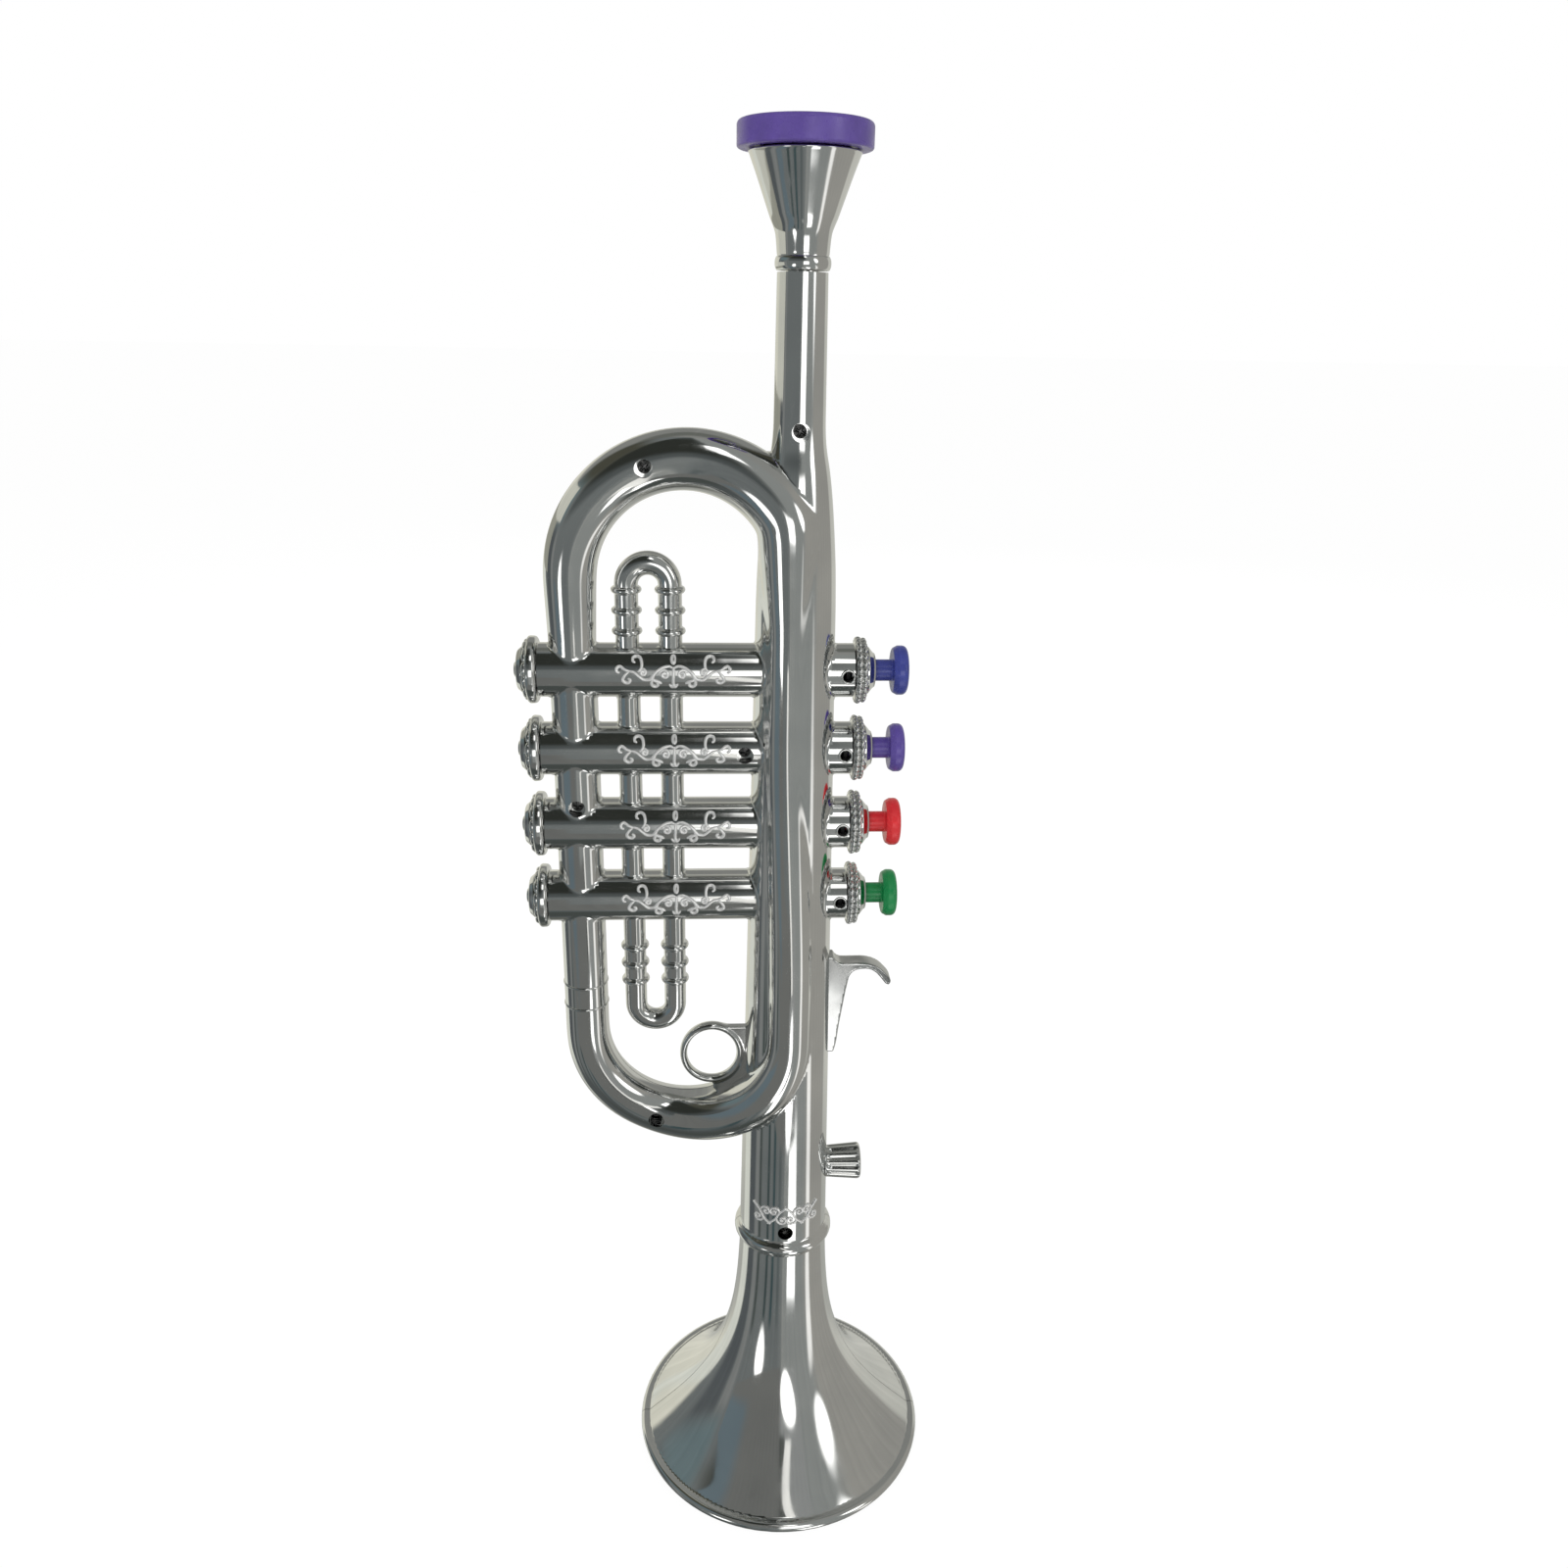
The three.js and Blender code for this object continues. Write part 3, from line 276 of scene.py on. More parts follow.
def grid_surface(grid: Array, start: Array | None = None, end: Array | None = None,
                 finish: int = 0) -> Surface:
    """Closed surface over a grid of rings. Normals are the cross product of central differences.

    Args:
        grid: rings x points round x 3. The points always join round.
        start: the pole before the first ring, or None.
        end: the pole after the last ring, or None. Without poles the rings close on themselves.
        finish: which of the piece's materials it takes.

    Returns:
        The surface, its faces looking out.
    """
    rings, around, _ = grid.shape
    looped = start is None
    if looped:
        before, after = np.roll(grid, 1, 0), np.roll(grid, -1, 0)
    else:
        before = np.concatenate([np.broadcast_to(start, (1, around, 3)), grid[:-1]])
        after = np.concatenate([grid[1:], np.broadcast_to(end, (1, around, 3))])
    normals = unit(np.cross(after - before, np.roll(grid, -1, 1) - np.roll(grid, 1, 1)), 1e-12)
    index = np.arange(rings * around).reshape(rings, around)
    low = index if looped else index[:-1]
    high = np.roll(index, -1, 0) if looped else index[1:]
    quads = np.stack([low, high, np.roll(high, -1, 1), np.roll(low, -1, 1)], axis=2).reshape(-1, 4)
    points, faces, stacked = grid.reshape(-1, 3), [quads], normals.reshape(-1, 3)
    if not looped:
        first, last = rings * around, rings * around + 1
        faces += [columns(np.full(around, first), index[0], np.roll(index[0], -1)),
                  columns(np.full(around, last), np.roll(index[-1], -1), index[-1])]
        points = np.vstack([points, start, end])
        stacked = np.vstack([stacked, unit(normals[0].mean(0)), unit(normals[-1].mean(0))])
    return Surface(points, stacked, faces, finish).outward()


def turned(profile: Array, sides: int, ripple: Array | None = None, finish: int = 0) -> Surface:
    """Profile carried round +Z: x = r cos a, y = r sin a, z = height, with an optional ripple in r.

    Args:
        profile: radius and height pairs. It starts and ends on the axis, or else closes on itself.
        sides: points round.
        ripple: amount added to the radius, profile points x sides, or None.
        finish: which of the piece's materials it takes.

    Returns:
        The turned surface about +Z.
    """
    poled = profile[0, 0] < 1e-9
    rows = profile[1:-1] if poled else profile
    angle = round_angles(sides)
    radius = np.repeat(rows[:, :1], sides, axis=1)
    if ripple is not None:
        radius = radius + ripple
    height = np.repeat(rows[:, 1:2], sides, axis=1)
    grid = np.stack([radius * np.cos(angle), radius * np.sin(angle), height], axis=2)
    if not poled:
        return grid_surface(grid, finish=finish)
    return grid_surface(grid, np.array([0, 0, profile[0, 1]]), np.array([0, 0, profile[-1, 1]]), finish)


def laid(surface: Surface, axis: str, sign: int = 1) -> Surface:
    """A surface about +Z turned so that its height runs along axis "x" or "y", or against it by sign."""
    x_turn = np.array([[0, 0, sign], [0, 1, 0], [-sign, 0, 0]], float)
    y_turn = np.array([[1, 0, 0], [0, 0, sign], [0, -sign, 0]], float)
    return surface.spun(x_turn if axis == "x" else y_turn)


def tube(path: Array, radius: Array | float, sides: int, reference: Array,
         closed: bool = False) -> Surface:
    """Round section carried along a path: p + r (cos a . side + sin a . up).

    Side is the path's direction x the reference, and up is side x direction. An open tube's ends
    are drawn in over a quarter circle, so they close as domes.

    Args:
        path: points of the centre line.
        radius: radius at each point, or one for all.
        sides: points round.
        reference: a direction that the path never runs along, one for all or one a point.
        closed: whether the path closes on itself.

    Returns:
        The tube's surface.
    """
    radius = np.broadcast_to(np.asarray(radius, float), (len(path),)).copy()
    reference = np.broadcast_to(np.asarray(reference, float), path.shape).copy()
    if closed:
        run = np.roll(path, -1, 0) - np.roll(path, 1, 0)
    else:
        run = np.gradient(path, axis=0)
    run /= np.linalg.norm(run, axis=1, keepdims=True)
    if not closed:
        swing = np.radians([75.0, 50.0, 25.0])
        lead = path[0] - run[0] * radius[0] * np.sin(swing)[:, None]
        tail = path[-1] + run[-1] * radius[-1] * np.sin(swing[::-1])[:, None]
        start, end = path[0] - run[0] * radius[0], path[-1] + run[-1] * radius[-1]
        radius = np.concatenate([radius[0] * np.cos(swing), radius, radius[-1] * np.cos(swing[::-1])])
        path = np.vstack([lead, path, tail])
        run = np.vstack([np.repeat(run[:1], 3, 0), run, np.repeat(run[-1:], 3, 0)])
        reference = np.vstack([np.repeat(reference[:1], 3, 0), reference, np.repeat(reference[-1:], 3, 0)])
    side = np.cross(run, reference)
    side /= np.linalg.norm(side, axis=1, keepdims=True)
    up = np.cross(side, run)
    angle = round_angles(sides)[None, :, None]
    section = np.cos(angle) * side[:, None] + np.sin(angle) * up[:, None]
    grid = path[:, None] + radius[:, None, None] * section
    return grid_surface(grid) if closed else grid_surface(grid, start, end)


def beaded_ring(centre_radius: float, bead: float, count: int, height: float, per_bead: int = 8,
                sides: int = 10) -> Surface:
    """Row of beads round +Z: a ring whose tube swells as r sqrt(1 - (0.94 s)^2) over each bead.

    Args:
        centre_radius: radius of the row.
        bead: radius of a bead.
        count: how many beads.
        height: height of the row on the axis.
        per_bead: points along each bead.
        sides: points round each bead.

    Returns:
        The beaded ring.
    """
    angle = round_angles(count * per_bead)
    share = 2 * ((angle * count / (2 * math.pi)) % 1.0) - 1
    swell = bead * np.sqrt(1 - (0.94 * share) ** 2)
    path = columns(centre_radius * np.cos(angle), centre_radius * np.sin(angle), np.full_like(angle, height))
    return tube(path, swell, sides, UPRIGHT, closed=True)


def block(low: Sequence[float], high: Sequence[float]) -> Surface:
    """Square-edged block between two corners, used only to cut other surfaces."""
    x, y, z = (np.array([a, b]) for a, b in zip(low, high))
    points = np.array([[x[i], y[j], z[k]] for i in (0, 1) for j in (0, 1) for k in (0, 1)], float)
    quads = np.array([[0, 1, 3, 2], [4, 6, 7, 5], [0, 4, 5, 1], [2, 3, 7, 6], [0, 2, 6, 4], [1, 5, 7, 3]])
    return Surface(points, points - points.mean(0), [quads], 1).outward()


def rod(radius: float, low: float, high: float, sides: int) -> Surface:
    """Plain rod along +Z from one height to another, used only to cut or leave out other forms."""
    return turned(np.array([[0, low], [radius, low], [radius, high], [0, high]], float), sides, finish=1)


def cutter(radius: float, low: float, high: float, sides: int, axis: str, place: Sequence[float]) -> Surface:
    """The same rod along axis "x" or "y" through a place."""
    return laid(rod(radius, low, high, sides), axis).moved(place)


# Moulded forms as fields


class Form(ABC):
    """A solid form given by how far a point lies outside it, and the direction away from it."""

    low: Array
    high: Array
    margin: float = 3.0

    @abstractmethod
    def measure(self, points: Array) -> Reading:
        """Distance outside the form (negative inside) and its gradient at each point."""

    def near(self, points: Array) -> Array:
        """Which points lie close enough to the form for it to matter."""
        return ((points > self.low - self.margin) & (points < self.high + self.margin)).all(axis=1)


def oval(out: Array, up: Array, half_width: float, half_height: float) -> tuple[Array, Array, Array]:
    """First-order distance from an oval: q = |(out/a, up/b)|, distance (q - 1)/|grad q|.

    Args:
        out: offset from the section's middle across it.
        up: offset along its other axis.
        half_width: a, half the section's width.
        half_height: b, half its height.

    Returns:
        The distance and its slopes across and along.
    """
    u, v = out / half_width, up / half_height
    q = np.maximum(np.hypot(u, v), 0.05)
    across, along = u / half_width / q, v / half_height / q
    size = np.maximum(np.hypot(across, along), 1e-6)
    return (q - 1) / size, across / size, along / size


@dataclass
class TubeProfile(Form):
    """Main tube and bell: distance = (r - R(z)) / sqrt(1 + R'(z)^2), R read from a fine table."""

    lip_radius: float = 1.5
    lip_centre: float = 42.3
    band_height: float = 75.4
    band_radius: float = 12.8
    shoulder_radius: float = 10.0
    shoulder_start: float = 263.8
    neck_start: float = 305.8
    neck_radius: float = 6.25
    top: float = 340.8
    top_radius: float = 5.9
    wall: float = 1.6
    flare_length: float = 21.0
    flare_foot: float = 12.4
    flare_power: float = 1.2
    step: float = 0.05
    spare: float = 1.5

    def __post_init__(self) -> None:
        """Tabulates R(z) and its slope, softened above the lip so that reflections stay smooth."""
        self.heights = np.arange(-4.0, self.top + 6.0, self.step)
        raw = self._raw(self.heights)
        half = int(4.5 / self.step)
        weights = np.exp(-0.5 * (np.arange(-half, half + 1) * self.step / 1.5) ** 2)
        padded = np.pad(raw, half, mode="edge")
        soft = np.convolve(padded, weights / weights.sum(), mode="valid")
        self.radii = raw + (soft - raw) * ease((self.heights - 6.0) / 6.0)
        self.slopes = np.gradient(self.radii, self.step)
        self.low = np.array([-self.lip_centre, -self.lip_centre, self.lip_radius])
        self.high = np.array([self.lip_centre, self.lip_centre, self.top + self.spare])

    def _raw(self, z: Array) -> Array:
        """R(z): an exponential flare, a straight taper, a monotone shoulder and a straight neck."""
        run = np.maximum(z - self.lip_radius, 0) / self.flare_length
        flare = self.flare_foot + (self.lip_centre - self.flare_foot) * np.exp(-(run ** self.flare_power))
        share = (z - self.band_height) / (self.shoulder_start - self.band_height)
        taper = self.band_radius + (self.shoulder_radius - self.band_radius) * share
        fall = through([0, 0.2, 0.4, 0.62, 0.8, 0.9, 1], [0, 0.07, 0.21, 0.42, 0.68, 0.9, 1],
                       (z - self.shoulder_start) / (self.neck_start - self.shoulder_start))
        shoulder = self.shoulder_radius + (self.neck_radius - self.shoulder_radius) * fall
        share = (z - self.neck_start) / (self.top - self.neck_start)
        neck = self.neck_radius + (self.top_radius - self.neck_radius) * share
        return np.select([z < self.band_height, z < self.shoulder_start, z < self.neck_start],
                         [flare, taper, shoulder], neck)

    def radius(self, z: Array | float) -> Array:
        """Outer radius at a height."""
        return np.interp(z, self.heights, self.radii)

    def bore(self, z: Array | float) -> Array:
        """Bore radius at a height: the wall is measured square to the surface."""
        return self.radius(z) - self.wall * np.hypot(1, np.interp(z, self.heights, self.slopes))

    def measure(self, points: Array) -> Reading:
        """First-order distance from the turned graph, flat under the lip's middle and over the top."""
        across = np.maximum(np.hypot(points[:, 0], points[:, 1]), 1e-6)
        slope = np.interp(points[:, 2], self.heights, self.slopes)
        scale = 1.0 / np.hypot(1, slope)
        distance = (across - self.radius(points[:, 2])) * scale
        gradient = columns(points[:, 0] / across * scale, points[:, 1] / across * scale, -slope * scale)
        for sign, end in ((-1, -self.lip_radius), (1, self.top + self.spare)):
            past = sign * points[:, 2] - end
            beyond = past > distance
            distance = np.where(beyond, past, distance)
            gradient[beyond] = (0, 0, sign)
        return distance, gradient


@dataclass
class RoundRing(Form):
    """Ring of oval section about the main axis."""

    centre_radius: float
    height: float
    half_width: float
    half_height: float

    def __post_init__(self) -> None:
        """Sets the box that the ring fills."""
        reach = self.centre_radius + self.half_width
        self.low = np.array([-reach, -reach, self.height - self.half_height])
        self.high = np.array([reach, reach, self.height + self.half_height])

    def measure(self, points: Array) -> Reading:
        """Distance from the oval section."""
        x, y, z = points.T
        reach = np.maximum(np.hypot(x, y), 1e-6)
        distance, out, up = oval(reach - self.centre_radius, z - self.height, self.half_width,
                                 self.half_height)
        return distance, columns(x / reach * out, y / reach * out, up)


@dataclass
class Rod(Form):
    """Round bar along one axis: distance = distance from the axis - radius."""

    axis: int
    centre: Triple
    radius: float
    half_length: float

    def __post_init__(self) -> None:
        """Sets the box that the bar fills."""
        reach = np.full(3, self.radius)
        reach[self.axis] = self.half_length
        self.low, self.high = np.array(self.centre) - reach, np.array(self.centre) + reach

    def measure(self, points: Array) -> Reading:
        """Distance from the bar's side, or from its flat end where that is further."""
        offset = points - np.array(self.centre)
        along = offset[:, self.axis].copy()
        offset[:, self.axis] = 0
        length = np.maximum(np.linalg.norm(offset, axis=1), 1e-6)
        distance, gradient = length - self.radius, offset / length[:, None]
        past = np.abs(along) - self.half_length
        ended = past > distance
        distance = np.where(ended, past, distance)
        gradient[ended] = 0
        gradient[ended, self.axis] = np.sign(along[ended])
        return distance, gradient


@dataclass
class LoopTube(Form):
    """Wrap-around tube. A point is measured from the nearest place on the centre line in x and z.

    In depth it is measured from the span between the tube's own depth and the seam plane, so that
    the moulding has straight sides down to the seam and no undercut.
    """

    leg: float = -55.8
    tube_radius: float = 5.9
    top_left_radius: float = 6.5
    top_right_radius: float = 7.9
    foot_tube_radius: float = 6.9
    top_centre: Pair = (-27.1, 270.3)
    top_radius: float = 28.7
    taper_foot: float = 253.75
    leg_top: float = 258.6
    foot_centre: Pair = (-27.9, 143.31)
    foot_radius: float = 27.9
    top_depth: float = 5.0
    foot_depth: float = 8.3
    leg_offset: float = 1.7
    step: float = 1.0
    blur: float = 2.5

    def __post_init__(self) -> None:
        """Lays out the centre line once round: top bend, right leg, foot bend and left leg."""
        angle = np.radians(np.linspace(180, 30, 151))
        top = columns(self.top_centre[0] + self.top_radius * np.cos(angle),
                      self.top_centre[1] + self.top_radius * np.sin(angle),
                      self.top_depth * ease(1 - np.degrees(angle) / 90),
                      np.linspace(self.top_left_radius, self.top_right_radius, len(angle)))
        share = np.linspace(0, 1, 60)
        swell = ease((share - 0.2) / 0.65)
        leg = columns(-self.leg_offset * (1 - swell),
                      self.leg_top + (self.foot_centre[1] - self.leg_top) * share,
                      self.top_depth + (self.foot_depth - self.top_depth) * swell,
                      np.full_like(share, self.tube_radius))
        angle = np.radians(np.linspace(0, 180, 181)[1:])
        foot = columns(self.foot_centre[0] + self.foot_radius * np.cos(angle),
                       self.foot_centre[1] - self.foot_radius * np.sin(angle),
                       self.foot_depth * ease((120 - np.degrees(angle)) / 90),
                       self.tube_radius + (self.foot_tube_radius - self.tube_radius) * np.sin(angle))
        left = np.array([[self.leg, self.taper_foot, 0, self.tube_radius]])
        line = softened(evened(np.vstack([top, leg, foot, left]), self.step), self.blur)
        self.line = evened(line, self.step)
        ahead, behind = np.roll(self.line, -1, 0), np.roll(self.line, 1, 0)
        span = np.linalg.norm((ahead - behind)[:, :2], axis=1) / 2
        self.run = (ahead - behind)[:, :2] / (2 * span[:, None])
        self.bend = (ahead + behind - 2 * self.line)[:, :2] / span[:, None] ** 2
        self.change = (ahead - behind)[:, 2:] / (2 * span[:, None])
        wide, least, most = self.top_right_radius, self.line.min(0), self.line.max(0)
        self.low = np.array([least[0], -self.foot_depth, least[1]]) - wide
        self.high = np.array([most[0], 0, most[1]]) + wide

    def measure(self, points: Array) -> Reading:
        """Nearest sample, then a place on the parabola through it, then the distance from there."""
        flat = points[:, [0, 2]]
        nearest = np.empty(len(points), int)
        places = self.line[:, :2].astype(np.float32)
        lengths = (places ** 2).sum(1)
        for first in range(0, len(points), 40000):
            part = flat[first:first + 40000].astype(np.float32)
            nearest[first:first + 40000] = np.argmin(lengths - 2 * part @ places.T, axis=1)
        offset = flat - self.line[nearest, :2]
        run, bend = self.run[nearest], self.bend[nearest]
        stretch = np.maximum(1 - (offset * bend).sum(1), 0.3)
        along = np.clip((offset * run).sum(1) / stretch, -self.step, self.step)
        away = offset - run * along[:, None] - 0.5 * bend * along[:, None] ** 2
        run = run + bend * along[:, None]
        depth = self.line[nearest, 2] + self.change[nearest, 0] * along
        radius = self.line[nearest, 3] + self.change[nearest, 1] * along
        inside = np.clip(points[:, 1], -depth, 0)
        drop = points[:, 1] - inside
        length = np.maximum(np.sqrt((away ** 2).sum(1) + drop ** 2), 1e-6)
        sinking = np.where(points[:, 1] < -depth, drop * self.change[nearest, 0] / length, 0)
        ahead = sinking - self.change[nearest, 1]
        flat_gradient = away / length[:, None] + run * (ahead / stretch)[:, None]
        return length - radius, columns(flat_gradient[:, 0], drop / length, flat_gradient[:, 1])


@dataclass
class Plate(Form):
    """Flat plate on the seam: an outline in x and z given a thickness and rounded edges.

    With p the signed distance from the outline and t from the faces, both grown by the rounding,
    distance = length of the positive parts + the larger of the negative parts - rounding.
    """

    outline: Array
    half_depth: float
    rounding: float

    def __post_init__(self) -> None:
        """Sets the box that the plate fills."""
        low, high = self.outline.min(0), self.outline.max(0)
        self.low = np.array([low[0], -self.half_depth, low[1]])
        self.high = np.array([high[0], self.half_depth, high[1]])

    def flat_distance(self, flat: Array) -> Array:
        """Signed distance from the outline: the nearest edge, negative where the winding is inside."""
        best = np.full(len(flat), np.inf)
        inside = np.zeros(len(flat), bool)
        for a, b in zip(self.outline, np.roll(self.outline, -1, 0)):
            edge = b - a
            share = np.clip(((flat - a) @ edge) / (edge @ edge), 0, 1)
            best = np.minimum(best, np.linalg.norm(flat - a - share[:, None] * edge, axis=1))
            if a[1] != b[1]:
                crosses = (a[1] > flat[:, 1]) != (b[1] > flat[:, 1])
                inside ^= crosses & (flat[:, 0] < edge[0] * (flat[:, 1] - a[1]) / edge[1] + a[0])
        return np.where(inside, -best, best)

    def value(self, points: Array) -> Array:
        """Distance outside the rounded plate."""
        side = self.flat_distance(points[:, [0, 2]]) + self.rounding
        face = np.abs(points[:, 1]) - self.half_depth + self.rounding
        outside = np.hypot(np.maximum(side, 0), np.maximum(face, 0))
        return outside + np.minimum(np.maximum(side, face), 0) - self.rounding

    def measure(self, points: Array) -> Reading:
        """Distance, with its gradient from small central differences."""
        small = 0.02
        gradient = np.empty_like(points)
        for k in range(3):
            shift = np.zeros(3)
            shift[k] = small
            gradient[:, k] = (self.value(points + shift) - self.value(points - shift)) / (2 * small)
        return self.value(points), unit(gradient, 1e-6)


@dataclass
class Eye(Form):
    """Finger ring about a y axis: an oval section carried round a circle in the seam plane."""

    centre: Pair
    middle_radius: float
    half_width: float
    half_depth: float
    stretch: float = 1.0

    def __post_init__(self) -> None:
        """Sets the box that the ring fills."""
        reach = self.middle_radius + self.half_width
        tall = reach * self.stretch
        self.low = np.array([self.centre[0] - reach, -self.half_depth, self.centre[1] - tall])
        self.high = np.array([self.centre[0] + reach, self.half_depth, self.centre[1] + tall])

    def measure(self, points: Array) -> Reading:
        """Distance from the oval section, in heights divided by the stretch."""
        x, z = points[:, 0] - self.centre[0], (points[:, 2] - self.centre[1]) / self.stretch
        reach = np.maximum(np.hypot(x, z), 1e-6)
        distance, out, deep = oval(reach - self.middle_radius, points[:, 1], self.half_width,
                                   self.half_depth)
        return distance, columns(x / reach * out, deep, z / reach * out / self.stretch)


@dataclass
class Moulding(Form):
    """Forms joined with small fillets: each is blended in by a quadratic smooth minimum."""

    parts: list[tuple[Form, float]]

    def __post_init__(self) -> None:
        """Sets the box round all the parts."""
        self.low = np.min([part.low for part, _ in self.parts], axis=0)
        self.high = np.max([part.high for part, _ in self.parts], axis=0)

    def measure(self, points: Array) -> Reading:
        """min(a, b) - k h (1 - h), with h the blend share; the gradient blends by the same share."""
        total = np.full(len(points), FAR)
        slope = np.zeros_like(points)
        for part, blend in self.parts:
            near = part.near(points)
            if not near.any():
                continue
            distance, gradient = part.measure(points[near])
            other = total[near]
            share = np.clip(0.5 + 0.5 * (other - distance) / blend, 0, 1)
            total[near] = other + (distance - other) * share - blend * share * (1 - share)
            slope[near] = gradient * share[:, None] + slope[near] * (1 - share)[:, None]
        return total, slope

    def settle(self, points: Array, rounds: int) -> Array:
        """Points moved onto the surface by Newton steps: p - d g / |g|^2."""
        for _ in range(rounds):
            distance, gradient = self.measure(points)
            size = np.maximum((gradient ** 2).sum(1), 0.2)
            points = points - gradient * (np.clip(distance, -1, 1) / size)[:, None]
        return points

    def meshed(self, pitch: float, pad: float = 2.0) -> Surface:
        """Surface net: one point in each cell that the surface crosses, four cells round each crossed edge.

        A cell's point is the mean of its edge crossings. The points are then evened out among their
        neighbours and settled on the exact surface, and their normals are the form's own gradient.

        Args:
            pitch: edge of the sampling cells.
            pad: room left round the form.

        Returns:
            The surface.
        """
        low = self.low - pad
        counts = np.ceil((self.high + pad - low) / pitch).astype(int) + 1
        axes = [low[k] + pitch * np.arange(counts[k]) for k in range(3)]
        values = np.empty(tuple(counts), np.float32)
        for first in range(0, counts[2], 24):
            rows = axes[2][first:first + 24]
            nodes = np.stack(np.meshgrid(axes[0], axes[1], rows, indexing="ij"), axis=-1).reshape(-1, 3)
            values[:, :, first:first + 24] = self.measure(nodes)[0].reshape(counts[0], counts[1], len(rows))
        cells = counts - 1
        stride = np.array([cells[1] * cells[2], cells[2], 1])
        keys, crossings = [], []
        for axis in range(3):
            a = np.take(values, np.arange(counts[axis] - 1), axis=axis)
            b = np.take(values, np.arange(1, counts[axis]), axis=axis)
            where = np.argwhere((a < 0) != (b < 0))
            start, stop = a[tuple(where.T)].astype(float), b[tuple(where.T)].astype(float)
            place = where.astype(float)
            place[:, axis] += start / (start - stop)
            u, v = (axis + 1) % 3, (axis + 2) % 3
            corners = np.repeat(where[:, None, :], 4, axis=1)
            corners[:, :, u] += np.array([-1, 0, 0, -1])
            corners[:, :, v] += np.array([-1, -1, 0, 0])
            corners[start > 0] = corners[start > 0][:, ::-1]
            keys.append(corners @ stride)
            crossings.append(low + pitch * place)
        quads = np.vstack(keys)
        spots = np.repeat(np.vstack(crossings), 4, axis=0)
        unique, index = np.unique(quads.ravel(), return_inverse=True)
        hits = np.bincount(index)
        points = np.stack([np.bincount(index, spots[:, k]) / hits for k in range(3)], axis=1)
        quads = index.reshape(-1, 4)
        points = self.settle(points, 3)
        starts, ends = quads.ravel(), np.roll(quads, -1, 1).ravel()
        degree = np.bincount(starts, minlength=len(points)) + np.bincount(ends, minlength=len(points))
        for _ in range(4):
            mean = np.stack([(np.bincount(starts, points[ends, k], len(points))
                              + np.bincount(ends, points[starts, k], len(points))) / degree
                             for k in range(3)], axis=1)
            points = self.settle(0.4 * points + 0.6 * mean, 2)
        return Surface(points, unit(self.measure(points)[1]), [quads])


# Finishes


def wire(tree: bpy.types.NodeTree, *pairs: tuple[Socket, Socket]) -> None:
    """Links outputs to inputs, in order."""
    for source, target in pairs:
        tree.links.new(source, target)


def preset(node: bpy.types.Node, inputs: dict[str | int, object]) -> bpy.types.Node:
    """A node with some of its inputs set, by name or number."""
    for key, value in inputs.items():
        node.inputs[key].default_value = value
    return node


def added(tree: bpy.types.NodeTree, *kinds: str) -> list[bpy.types.Node]:
    """New shader nodes of the kinds named, in order."""
    return [tree.nodes.new(f"ShaderNode{kind}") for kind in kinds]


class Wiring:
    """Short words for building a material's nodes."""

    def __init__(self, name: str) -> None:
        """Starts a material of this name with its main shader."""
        self.material = bpy.data.materials.new(name)
        self.material.use_nodes = True
        self.tree = self.material.node_tree
        self.shader = self.tree.nodes["Principled BSDF"]

    def node(self, kind: str, inputs: dict[str | int, object]) -> bpy.types.Node:
        """A shader node of a kind, with some of its inputs set."""
        return preset(added(self.tree, kind)[0], inputs)

    def noise(self, scale: float, detail: float = 2.0, stretch: Sequence[float] = (1, 1, 1)) -> Socket:
        """Noise over Object coordinates, in repeats a metre, optionally stretched by axis."""
        place, mapping = self.node("TexCoord", {}), self.node("Mapping", {"Scale": stretch})
        noise = self.node("TexNoise", {"Scale": scale, "Detail": detail})
        self.tree.links.new(place.outputs["Object"], mapping.inputs["Vector"])
        self.tree.links.new(mapping.outputs["Vector"], noise.inputs["Vector"])
        return noise.outputs["Fac"]

    def ranged(self, source: Socket, low: float, high: float,
               start: float = 0.3, stop: float = 0.7) -> Socket:
        """A value spread from start..stop onto low..high."""
        spread = self.node("MapRange", {"From Min": start, "From Max": stop, "To Min": low, "To Max": high})
        self.tree.links.new(source, spread.inputs["Value"])
        return spread.outputs["Result"]

    def blend(self, share: Socket, first: Sequence[float], second: Sequence[float]) -> Socket:
        """Colour between two by a share."""
        mix = self.node("Mix", {6: (*first, 1), 7: (*second, 1)})
        mix.data_type = "RGBA"
        self.tree.links.new(share, mix.inputs[0])
        return mix.outputs[2]

    def rough(self, source: Socket) -> None:
        """Drives the roughness."""
        self.tree.links.new(source, self.shader.inputs["Roughness"])

    def colour(self, source: Socket) -> None:
        """Drives the base colour."""
        self.tree.links.new(source, self.shader.inputs["Base Color"])

    def bump(self, source: Socket, distance: float, strength: float) -> None:
        """Raises the surface by a value, over a distance in metres."""
        bump = self.node("Bump", {"Distance": distance, "Strength": strength})
        self.tree.links.new(source, bump.inputs["Height"])
        self.tree.links.new(bump.outputs["Normal"], self.shader.inputs["Normal"])


class Finish(ABC):
    """A surface finish that turns into a material."""

    name: str

    @abstractmethod
    def material(self) -> bpy.types.Material:
        """The finish as a node material."""


